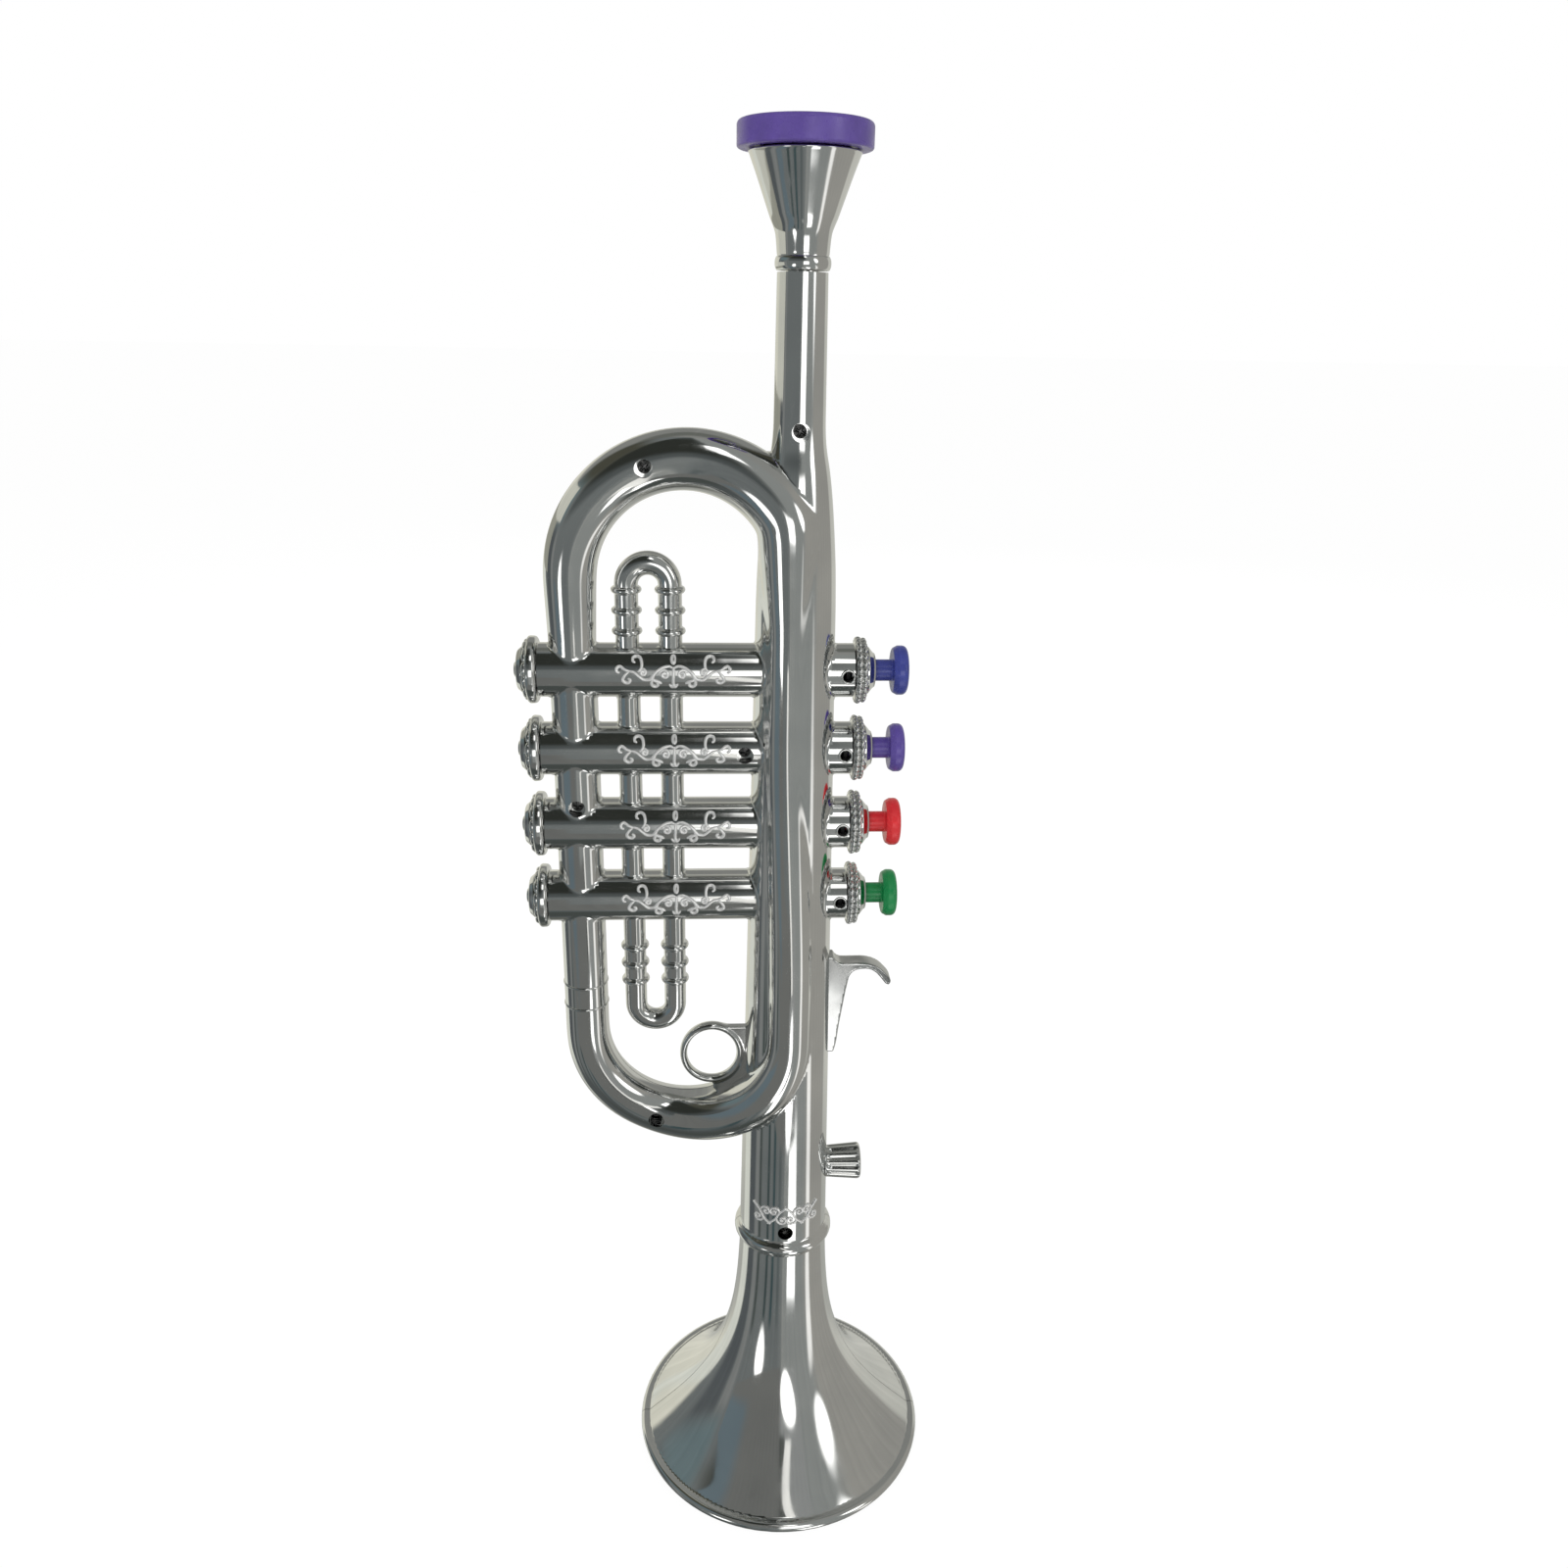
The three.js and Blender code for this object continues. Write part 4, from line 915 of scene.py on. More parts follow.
@dataclass(frozen=True)
class Chrome(Finish):
    """Vacuum-plated plastic: bright metal with a faint waviness and hazy handling marks."""

    name: str = "chrome"
    colour: Triple = (0.80, 0.80, 0.785)
    shade: Triple = (0.70, 0.705, 0.70)
    least_rough: float = 0.055
    most_rough: float = 0.12
    wave: float = 0.00006
    metal: float = 1.0

    def material(self) -> bpy.types.Material:
        """Metal with a drifting tone, patchy haze and shallow mould waves along the tube."""
        w = Wiring(self.name)
        w.shader.inputs["Metallic"].default_value = self.metal
        w.colour(w.blend(w.ranged(w.noise(55.0, 3.0), 0, 1), self.colour, self.shade))
        w.rough(w.ranged(w.noise(160.0, 5.0), self.least_rough, self.most_rough, 0.35, 0.75))
        w.bump(w.noise(150.0, 1.0, (1.0, 1.0, 0.22)), self.wave, 0.35)
        return w.material


@dataclass(frozen=True)
class Plastic(Finish):
    """Coloured moulded plastic: even colour, slight mottling and a soft moulded grain."""

    name: str
    colour: Triple
    roughness: float = 0.28
    mottle: float = 0.86
    grain: float = 0.00002

    def material(self) -> bpy.types.Material:
        """Plastic with a slightly darker mottle, roughness patches and grain."""
        w = Wiring(self.name)
        dark = tuple(self.mottle * c for c in self.colour)
        w.colour(w.blend(w.ranged(w.noise(240.0, 4.0), 0, 1), self.colour, dark))
        w.rough(w.ranged(w.noise(420.0, 3.0), self.roughness - 0.06, self.roughness + 0.1))
        w.shader.inputs["IOR"].default_value = 1.5
        w.bump(w.noise(2400.0, 2.0), self.grain, 0.3)
        return w.material


@dataclass(frozen=True)
class DrawnMetal(Finish):
    """Bare metal of a wire, reed or screw: fine lines and a dull, uneven sheen."""

    name: str
    colour: Triple
    roughness: float = 0.32

    def material(self) -> bpy.types.Material:
        """Metal with a tone that drifts and fine drawn lines in its roughness."""
        w = Wiring(self.name)
        w.shader.inputs["Metallic"].default_value = 1.0
        dark = tuple(0.7 * c for c in self.colour)
        w.colour(w.blend(w.ranged(w.noise(300.0, 3.0), 0, 1), self.colour, dark))
        w.rough(w.ranged(w.noise(900.0, 2.0, (0.2, 1.0, 1.0)), self.roughness - 0.1, self.roughness + 0.14))
        w.bump(w.noise(1800.0, 1.0), 0.00002, 0.25)
        return w.material


@dataclass(frozen=True)
class Rubber(Finish):
    """Soft dark pad rubber: matt, faintly dusty."""

    name: str = "pad_rubber"
    colour: Triple = (0.022, 0.022, 0.024)

    def material(self) -> bpy.types.Material:
        """Matt rubber with pale dust and a fine grain."""
        w = Wiring(self.name)
        w.colour(w.blend(w.ranged(w.noise(700.0, 5.0), 0, 1, 0.45, 0.8), self.colour, (0.07, 0.07, 0.072)))
        w.rough(w.ranged(w.noise(500.0, 2.0), 0.75, 0.95))
        w.bump(w.noise(3000.0, 2.0), 0.00004, 0.5)
        return w.material


Finishes = Finish | Sequence[Finish]
CHROME = Chrome()
CHROME_FITTINGS = Chrome(name="chrome_fittings", least_rough=0.06, most_rough=0.12, wave=0.00003)
CHROME_INSIDE = Chrome(name="chrome_inside", colour=(0.62, 0.62, 0.61), shade=(0.5, 0.5, 0.5),
                       least_rough=0.22, most_rough=0.34)
RIM_PURPLE = Plastic("rim_purple", (0.105, 0.066, 0.29))
KEY_BLUE = Plastic("key_blue", (0.042, 0.054, 0.27), mottle=0.7)
KEY_VIOLET = Plastic("key_violet", (0.095, 0.062, 0.29))
KEY_RED = Plastic("key_red", (0.62, 0.022, 0.028))
KEY_GREEN = Plastic("key_green", (0.006, 0.21, 0.058))
INNER_PLASTIC = Plastic("inner_plastic", (0.66, 0.64, 0.59), roughness=0.5, mottle=0.92)
SPRING_STEEL = DrawnMetal("spring_steel", (0.52, 0.52, 0.53))
SCREW_STEEL = DrawnMetal("screw_steel", (0.20, 0.20, 0.20), roughness=0.38)
REED_BRASS = DrawnMetal("reed_brass", (0.62, 0.43, 0.16))
PAD_RUBBER = Rubber()
# Near-black plastic on the key's inner rod and stop flange: painted shade, so the hole near each casing's
# right end reads dark.
ROD_PAINTED_SHADE = Plastic("rod_painted_shade", (0.012, 0.012, 0.013), roughness=0.5)
# Raised scroll strokes: real relief, given a paler, partly diffuse copy of the chrome so the lamps turn them
# whitish: painted highlight.
CHROME_PAINTED_HIGHLIGHT = Chrome(name="chrome_raised_painted_highlight", colour=(0.9, 0.9, 0.89), shade=(0.78, 0.78, 0.77),
                       metal=0.64, least_rough=0.2, most_rough=0.3, wave=0.00001)
CHROME_UNEVEN = Chrome(name="chrome_uneven", colour=(0.66, 0.66, 0.65), shade=(0.34, 0.35, 0.35),
                       least_rough=0.12, most_rough=0.24, wave=0.0006)
KEY_FINISHES = (KEY_BLUE, KEY_VIOLET, KEY_RED, KEY_GREEN)


# Workshop: from surfaces to Blender objects


def linked(name: str, data: bpy.types.ID) -> Thing:
    """A new object of some data, linked into the scene."""
    made = bpy.data.objects.new(name, data)
    bpy.context.scene.collection.objects.link(made)
    return made


@dataclass
class Workshop:
    """Turns surfaces into Blender objects, cuts them and hands them to the frame."""

    made: dict[str, bpy.types.Material] = field(default_factory=dict)

    def wear(self, finish: Finish) -> bpy.types.Material:
        """The material of a finish, made the first time that it is asked for."""
        if finish.name not in self.made:
            self.made[finish.name] = finish.material()
        return self.made[finish.name]

    def mesh(self, name: str, surfaces: Iterable[Surface], shaded: bool = True) -> bpy.types.Mesh:
        """One mesh out of surfaces, in the row frame and in metres.

        Args:
            name: the mesh's name.
            surfaces: the surfaces to join.
            shaded: whether the surfaces' own normals are set.

        Returns:
            The mesh.
        """
        points, normals, blocks, finishes, first = [], [], [], [], 0
        for surface in surfaces:
            points.append(surface.points)
            normals.append(surface.normals)
            for faces in surface.faces:
                blocks.append(faces + first)
                finishes.append(np.full(len(faces), surface.finish))
            first += len(surface.points)
        place = (np.vstack(points) + SHIFT) * MILLIMETRE
        sizes = np.concatenate([np.full(len(b), b.shape[1]) for b in blocks])
        corners = np.concatenate([b.ravel() for b in blocks])
        mesh = bpy.data.meshes.new(name)
        mesh.vertices.add(len(place))
        mesh.vertices.foreach_set("co", place.astype(np.float32).ravel())
        mesh.loops.add(len(corners))
        mesh.loops.foreach_set("vertex_index", corners.astype(np.int32))
        mesh.polygons.add(len(sizes))
        mesh.polygons.foreach_set("loop_start", (np.cumsum(sizes) - sizes).astype(np.int32))
        mesh.polygons.foreach_set("material_index", np.concatenate(finishes).astype(np.int32))
        mesh.polygons.foreach_set("use_smooth", np.ones(len(sizes), bool))
        mesh.update(calc_edges=True)
        if shaded:
            mesh.normals_split_custom_set_from_vertices(np.vstack(normals).tolist())
        return mesh

    def object(self, name: str, mesh: bpy.types.Mesh, finishes: Sequence[Finish] = ()) -> Thing:
        """An object of a mesh, with its materials in order."""
        for finish in finishes:
            mesh.materials.append(self.wear(finish))
        return linked(name, mesh)

    def piece(self, name: str, surfaces: Sequence[Surface], finish: Finishes,
              body: str = "root", nodes: Sequence[str] = ()) -> Thing:
        """A finished piece on its body.

        Args:
            name: the piece's name.
            surfaces: what it is made of.
            finish: its finish, or its finishes in the order that the surfaces name them.
            body: the body that it rides on.
            nodes: the CAD nodes that it stands for.

        Returns:
            The object.
        """
        finishes = [finish] if isinstance(finish, Finish) else list(finish)
        made = self.object(name, self.mesh(name, surfaces), finishes)
        return self.hand_over(made, body, nodes)

    def skin(self, node: str, surfaces: Sequence[Surface], finish: Finishes,
             slot: str = "chrome_fittings", body: str = "root") -> Thing:
        """A piece that stands for one CAD node and is named after it."""
        return self.piece(f"{node}_skin", surfaces, finish, body, [node])

    def hand_over(self, made: Thing, body: str, nodes: Sequence[str]) -> Thing:
        """Puts a made object on its body and the nodes that it stands for."""
        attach(made, body)
        if nodes:
            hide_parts(*nodes)
        LOG.info("%s: %d faces on %s", made.name, len(made.data.polygons), body)
        return made

    def carved(self, name: str, base: Thing, steps: Sequence[tuple[str, Thing]]) -> bpy.types.Mesh:
        """The base after boolean steps, as a new mesh.

        Args:
            name: the new mesh's name.
            base: the object to cut.
            steps: rows of operation and the object that it is done with.

        Returns:
            The mesh that is left.
        """
        for number, (operation, tool) in enumerate(steps):
            step = base.modifiers.new(f"step_{number}", "BOOLEAN")
            step.operation = operation
            step.solver = "MANIFOLD"
            step.object = tool
        bpy.context.view_layer.update()
        done = base.evaluated_get(bpy.context.evaluated_depsgraph_get())
        mesh = bpy.data.meshes.new_from_object(done)
        mesh.name = name
        base.modifiers.clear()
        return mesh

    def discard(self, *objects: Thing) -> None:
        """Removes tools that were only needed for cutting."""
        for thing in objects:
            data = thing.data
            bpy.data.objects.remove(thing)
            if data.users == 0:
                bpy.data.meshes.remove(data)


# Sub-assemblies


@dataclass
class Body:
    """The two moulded halves: main tube with its bell, the loop, four casings and two bars."""

    profile: TubeProfile = field(default_factory=TubeProfile)
    loop: LoopTube = field(default_factory=LoopTube)
    pitch: float = 0.8
    casing_radius: float = 6.85
    casing_bore: float = 5.25
    casing_left: float = -64.2
    casing_right: float = 14.9
    chest_reach: float = 6.0
    bar_radius: float = 2.95
    bar_places: Pair = (-42.1, -31.3)
    bore_spans: tuple[tuple[int, int, int], ...] = ((4, 78, 42), (82, 264, 16), (268, 344, 22))
    mouth: tuple[Pair, ...] = ((0, -2), (41.2, -2), (41.2, 0.6), (41.0, 1.3), (40.2, 2.0))
    neck_cut: float = 12.0
    past: float = 2.0
    band: Pair = (1.6, 2.0)
    seam: float = 0.16
    well_radius: float = 2.2
    well_floor: float = -1.6
    boss_wall: float = 1.2
    boss_reach: float = 20.0
    crease: float = 32.0
    hole_radius: float = 1.4
    hole_place: float = 13.15
    wells: tuple[Pair, ...] = (
        (0.0, 305.8), (-36.916, 297.27), (-12.6, 226.041), (-55.8, 211.281), (-36.983, 116.93), (0.0, 81.2))

    def form(self) -> Moulding:
        """Every outer form of both halves, joined with small fillets."""
        middle = (self.casing_left + self.casing_right) / 2
        half = (self.casing_right - self.casing_left) / 2 + self.past
        band_radius = float(self.profile.radius(self.profile.band_height))
        parts: list[tuple[Form, float]] = [
            (self.profile, 0.5),
            (RoundRing(self.profile.lip_centre, self.profile.lip_radius, self.profile.lip_radius,
                       self.profile.lip_radius), 0.6),
            (RoundRing(band_radius, self.profile.band_height, *self.band), 0.7),
            (self.loop, 0.5),
        ]
        parts += [(Rod(0, (middle, 0, height), self.casing_radius, half), 0.45) for height in VALVE_HEIGHTS]
        rise = (VALVE_HEIGHTS[0] - VALVE_HEIGHTS[-1]) / 2
        parts += [(Rod(2, (across, 0, VALVE_HEIGHTS[-1] + rise), self.bar_radius, rise), 0.45)
                  for across in self.bar_places]
        return Moulding(parts)

    def ends(self) -> list[Surface]:
        """Cutters that square off the casings' ends and the top of the neck."""
        wide, deep = self.casing_radius + self.past, 3 * self.past
        spans = ((self.casing_right, self.casing_right + deep), (self.casing_left - deep, self.casing_left))
        cuts = [cutter(wide, *span, 24, "x", (0, 0, height)) for span in spans for height in VALVE_HEIGHTS]
        return cuts + [rod(self.neck_cut, self.profile.top, self.profile.top + deep, 24)]

    def bore(self) -> Surface:
        """Cutter for the main bore: the profile less the wall, square to the surface."""
        heights = np.concatenate([np.linspace(*span) for span in self.bore_spans])
        rows = columns(self.profile.bore(heights), heights)
        return turned(np.vstack([self.mouth, rows, [[0, heights[-1]]]]), 96, finish=1)

    def casing_bores(self) -> list[Surface]:
        """Cutters for the casings' bores, left of the main tube and right of the reed chest."""
        cuts = []
        for height in VALVE_HEIGHTS:
            left = -float(self.profile.radius(height))
            for span in ((self.casing_left - 1, left), (self.chest_reach, self.casing_right + 1)):
                cuts.append(cutter(self.casing_bore, *span, 40, "x", (0, 0, height)))
        return cuts

    def posts(self, radius: float, low: float, high: float, sides: int) -> list[Surface]:
        """Rods along y at each screw, for bosses or wells."""
        return [cutter(radius, low, high, sides, "y", (x, 0, z)) for x, z in self.wells]

    def holes(self) -> list[Surface]:
        """Cutters for the screw wells and the round hole near each casing's right end."""
        wells, span = self.posts(self.well_radius, -60, self.well_floor, 48), (-9, -self.casing_bore / 2)
        return wells + [cutter(self.hole_radius, *span, 40, "y", (self.hole_place, 0, height))
                        for height in VALVE_HEIGHTS]

    def dress_normals(self, mesh: bpy.types.Mesh, form: Moulding) -> None:
        """Gives the outer skin the form's own gradient as normals; cut faces keep theirs by angle.

        Args:
            mesh: the carved mesh, whose first material marks the outer skin.
            form: the moulding that the skin was drawn from.
        """
        count, corners = len(mesh.vertices), len(mesh.loops)
        places = np.empty(count * 3, np.float32)
        mesh.vertices.foreach_get("co", places)
        points = places.reshape(-1, 3).astype(float) / MILLIMETRE - SHIFT
        gradient = unit(form.measure(points)[1])
        finish = np.empty(len(mesh.polygons), np.int32)
        mesh.polygons.foreach_get("material_index", finish)
        sizes = np.empty(len(mesh.polygons), np.int32)
        mesh.polygons.foreach_get("loop_total", sizes)
        index = np.empty(corners, np.int32)
        mesh.loops.foreach_get("vertex_index", index)
        normals = gradient[index]
        normals[np.repeat(finish, sizes) > 0] = 0
        mesh.polygons.foreach_set("use_smooth", np.ones(len(mesh.polygons), bool))
        mesh.set_sharp_from_angle(angle=math.radians(self.crease))
        mesh.normals_split_custom_set(normals.tolist())

    def build(self, shop: Workshop) -> None:
        """Meshes the moulding, hollows and drills it, and splits it at the seam plane."""
        form = self.form()
        skin = form.meshed(self.pitch)
        LOG.info("moulding: %d points", len(skin.points))
        whole = shop.object("whole", shop.mesh("whole", [skin], shaded=False))

        def tool(name: str, surfaces: list[Surface]) -> Thing:
            """A cutter made of surfaces that don't meet each other."""
            return shop.object(name, shop.mesh(name, surfaces, shaded=False))

        bosses = tool("bosses", self.posts(self.well_radius + self.boss_wall, -self.boss_reach,
                                         self.boss_reach, 32))
        bore, casings = tool("bore", [self.bore()]), tool("casings", self.casing_bores())
        around = [("DIFFERENCE", bosses)]
        hollow = shop.object("hollow_bore", shop.carved("hollow_bore", bore, around))
        hollow_casings = shop.object("hollow_casings", shop.carved("hollow_casings", casings, around))
        ends, holes = tool("ends", self.ends()), tool("holes", self.holes())
        steps = [("DIFFERENCE", thing) for thing in (ends, hollow, hollow_casings, holes)]
        far = 500.0
        for half, node in ((Half.FRONT, "front_shell"), (Half.BACK, "back_shell")):
            near = sorted((half.value * self.seam / 2, half.value * far))
            side = tool("side", [block((-far, near[0], -far), (far, near[1], far))])
            mesh = shop.carved(f"{node}_skin", whole, steps + [("INTERSECT", side)])
            self.dress_normals(mesh, form)
            mesh.materials.clear()
            made = shop.object(f"{node}_skin", mesh, [CHROME, CHROME_INSIDE])
            shop.hand_over(made, "root", [node])
            shop.discard(side)
        shop.discard(whole, bosses, bore, casings, hollow, hollow_casings, ends, holes)


@dataclass
class Trim:
    """Raised detail of the mouldings: rings on the leg, rims of holes and the scroll ornament."""

    body: Body
    rib_heights: Pair = (152.0, 158.6)
    rib_radius: float = 0.4
    rib_sink: float = 0.12
    hole_rim: float = 0.32
    stroke: float = 0.42
    sheet_lift: float = 0.12
    rise: float = 1.2
    scale: float = 0.0278
    vine_place: float = -30.5
    band_height: float = 87.2
    band_stroke: float = 0.34
    band_start: float = -7.4
    band_pitch: float = 4.9
    band_count: int = 4
    band_curve: tuple[Pair, ...] = ((-2.7, -2.9), (-0.7, -1.2), (0.7, 1.2), (2.7, 2.9))

    def ribs(self) -> list[Surface]:
        """Two faint raised rings on the left leg: thin rings of round section."""
        angle = round_angles(64)
        radius = self.body.loop.tube_radius - self.rib_sink
        across, depth = self.body.loop.leg + radius * np.cos(angle), radius * np.sin(angle)
        rings = [columns(across, depth, np.full_like(angle, height)) for height in self.rib_heights]
        return [tube(ring, self.rib_radius, 10, UPRIGHT, closed=True) for ring in rings]

    def hole_rims(self, height: float) -> Surface:
        """Rolled rim round a casing's hole: a circle wrapped on the casing's face."""
        angle = round_angles(48)
        reach = self.body.hole_radius + self.hole_rim * 0.7
        up = reach * np.sin(angle)
        depth = -np.sqrt(self.body.casing_radius ** 2 - up ** 2)
        path = columns(self.body.hole_place + reach * np.cos(angle), depth, height + up)
        return tube(path, self.hole_rim, 10, unit(columns(np.zeros_like(up), depth, up)), closed=True)

    def spiral(self, across: float, up: float, start: float, turns: float, radius: float, hand: int) -> Array:
        """Spiral stroke: the radius shrinks as 1 - 0.86 s^0.8 while the angle turns."""
        share = np.linspace(0, 1, max(int(22 * turns), 10))
        angle = math.radians(start) + hand * 2 * math.pi * turns * share
        reach = radius * (1 - 0.86 * share ** 0.8)
        return columns(across + reach * np.cos(angle), up + reach * np.sin(angle))

    def vine(self) -> list[Array]:
        """Strokes of the casing ornament, in the drawing's own units: across and up from its middle."""
        half = [
            spline([(-12, 40), (-40, 52), (-85, 44), (-125, 22), (-168, -14), (-205, -62), (-262, -70),
                    (-305, -40), (-345, -6), (-392, 8)], 7),
            self.spiral(-80, -22, 150, 1.45, 46, -1),
            spline([(-392, 8), (-430, 20), (-462, 44), (-486, 50), (-506, 28), (-500, 2), (-482, -4)], 7),
            spline([(-400, 0), (-432, -30), (-452, -72), (-428, -98), (-396, -96), (-384, -74),
                    (-398, -62)], 7),
            spline([(-310, 4), (-284, 40), (-282, 92), (-296, 134), (-326, 150), (-356, 138), (-362, 104),
                    (-346, 90)], 7),
            self.spiral(-272, -4, 100, 1.3, 34, -1),
            spline([(-168, -14), (-186, -60), (-196, -100), (-188, -128), (-160, -138), (-138, -122),
                    (-146, -102)], 7),
            spline([(-205, -62), (-150, -84), (-112, -104)], 7),
        ]
        mirrored = [stroke * (-1, 1) for stroke in half]
        oval = np.linspace(0, 2 * math.pi, 28)
        middle = [
            columns(15 * np.cos(oval), 118 + 38 * np.sin(oval)),
            spline([(0, 40), (2, -20), (-2, -80), (0, -146)], 7),
            spline([(-34, -120), (-14, -142), (0, -118), (14, -142), (34, -120)], 6),
        ]
        return half + mirrored + middle

    def wrapped(self, stroke: Array, centre: float, height: float, radius: float) -> Surface:
        """A stroke laid on a casing's round face: height over radius gives the angle.

        Args:
            stroke: across and up, in millimetres from the ornament's middle.
            centre: place of the ornament's middle along the casing.
            height: height of the casing's axis.
            radius: radius that the stroke lies on.

        Returns:
            The stroke as a thin raised tube that thins towards both ends.
        """
        angle = (stroke[:, 1] + self.rise) / radius
        away = columns(np.zeros_like(angle), -np.cos(angle), np.sin(angle))
        path = away * radius + np.array([0, 0, height])
        path[:, 0] = centre + stroke[:, 0]
        share = np.linspace(0, 1, len(path))
        width = self.stroke * (0.62 + 0.38 * np.sin(math.pi * share) ** 0.6)
        return tube(path, width, 8, away)

    def casing_scroll(self, height: float) -> list[Surface]:
        """The scroll ornament on the front of one casing."""
        radius = self.body.casing_radius + self.sheet_lift
        return [self.wrapped(stroke * self.scale, self.vine_place, height, radius) for stroke in self.vine()]

    def band_scroll(self) -> list[Surface]:
        """Small scrolls round the front of the main tube just above the bead: S curves in a row."""
        found = []
        radius = float(self.body.profile.radius(self.band_height)) + self.sheet_lift
        for number in range(self.band_count):
            middle = self.band_start + self.band_pitch * number
            flip = 1 if number % 2 else -1
            backbone = [(middle + x, y * flip) for x, y in self.band_curve]
            strokes = [self.spiral(middle - 1.0, 1.35 * flip, 0, 1.3, 1.75, flip),
                       self.spiral(middle + 1.5, -1.25 * flip, 180, 1.3, 1.65, flip), spline(backbone, 9)]
            for stroke in strokes:
                angle = stroke[:, 0] / radius
                away = columns(np.sin(angle), -np.cos(angle), np.zeros_like(angle))
                path = away * radius
                path[:, 2] = self.band_height + stroke[:, 1]
                found.append(tube(path, self.band_stroke, 8, away))
        return found

    def build(self, shop: Workshop) -> None:
        """Publishes the trim."""
        shop.piece("leg_ribs", self.ribs(), CHROME)
        shop.piece("hole_rims", [self.hole_rims(height) for height in VALVE_HEIGHTS], CHROME)
        # The scroll strokes wear the paler chrome, a painted highlight.
        for number, height in enumerate(VALVE_HEIGHTS, 1):
            shop.piece(f"casing_scroll_{number}", self.casing_scroll(height), CHROME_PAINTED_HIGHLIGHT)
        shop.piece("band_scroll", self.band_scroll(), CHROME_PAINTED_HIGHLIGHT)


@dataclass
class Mouthpiece:
    """Chromed cup on the neck and the coloured rim pressed into it."""

    foot: float = 341.1
    bead_radius: float = 6.5
    bead_top: float = 344.3
    cup_top: float = 365.8
    foot_radius: float = 6.0
    cup_radius: float = 12.8
    throat: float = 2.2
    bowl_depth: float = 21.5
    seat_depth: float = 3.0
    spigot_foot: float = 329.8
    spigot_radius: float = 4.0
    top: float = 371.8
    rim_radius: float = 15.3
    rim_bore: float = 8.8
    skirt: float = 1.2
    gap: float = 0.3

    def cup(self) -> Surface:
        """Spigot, foot bead, flaring cup and the bowl inside it."""
        height = np.linspace(self.bead_top + 0.4, self.cup_top - 0.5, 46)
        share = (height - self.bead_top) / (self.cup_top - self.bead_top)
        spread = through([0, 0.2, 0.38, 0.58, 0.78, 1], [0, 0.06, 0.27, 0.50, 0.73, 1], share)
        outside = columns(self.foot_radius + (self.cup_radius - self.foot_radius) * spread, height)
        swing = np.radians(np.linspace(-78, 78, 15))
        middle, half = (self.foot + self.bead_top) / 2, (self.bead_top - self.foot) / 2
        bead = columns(self.foot_radius - 0.2 + (self.bead_radius - self.foot_radius + 0.2) * np.cos(swing),
                       middle + half * np.sin(swing))
        depth = np.linspace(0, 1, 26)
        opening = through([0, 0.22, 0.55, 0.86, 1], [0, 0.42, 0.84, 1, 1], depth)
        bowl = columns(self.throat + (self.rim_bore - self.throat) * opening,
                       self.cup_top - self.bowl_depth * (1 - depth))
        seat = self.rim_bore + self.skirt + self.gap
        floor = self.cup_top - self.seat_depth
        top = np.array([[self.cup_radius, self.cup_top - 0.25], [self.cup_radius - 0.3, self.cup_top],
                        [seat, self.cup_top], [seat, floor], [self.rim_bore, floor]])
        base = np.array([[self.throat, self.spigot_foot], [self.spigot_radius, self.spigot_foot],
                         [self.spigot_radius, self.foot], [self.foot_radius - 0.4, self.foot]])
        kept = bowl[bowl[:, 1] < floor - 0.2][::-1]
        return turned(np.vstack([base, bead, outside, top, kept]), 96)

    def rim(self) -> Surface:
        """Rim ring: rounded outer edges, an inward-rounded mouth edge and the skirt that holds it."""
        foot = self.cup_top + self.gap
        skirt_foot = self.cup_top - self.seat_depth + self.gap + 0.2
        profile = arcs([
            (self.rim_bore + 0.6, skirt_foot, 0), (self.rim_bore + self.skirt, skirt_foot, 0.15),
            (self.rim_bore + self.skirt, foot, 0), (self.rim_radius, foot, 0.6),
            (self.rim_radius, self.top, 1.1), (self.rim_bore, self.top, 1.6),
            (self.rim_bore, skirt_foot, 0.15), (self.rim_bore + 0.59, skirt_foot, 0)], 8)
        return turned(filled(profile, 1.2), 96)

    def build(self, shop: Workshop) -> None:
        """Publishes the cup and the rim."""
        shop.skin("mouthpiece_cup", [self.cup()], CHROME_FITTINGS, "chrome_body")
        shop.skin("mouthpiece_rim", [self.rim()], RIM_PURPLE, "rim_purple")


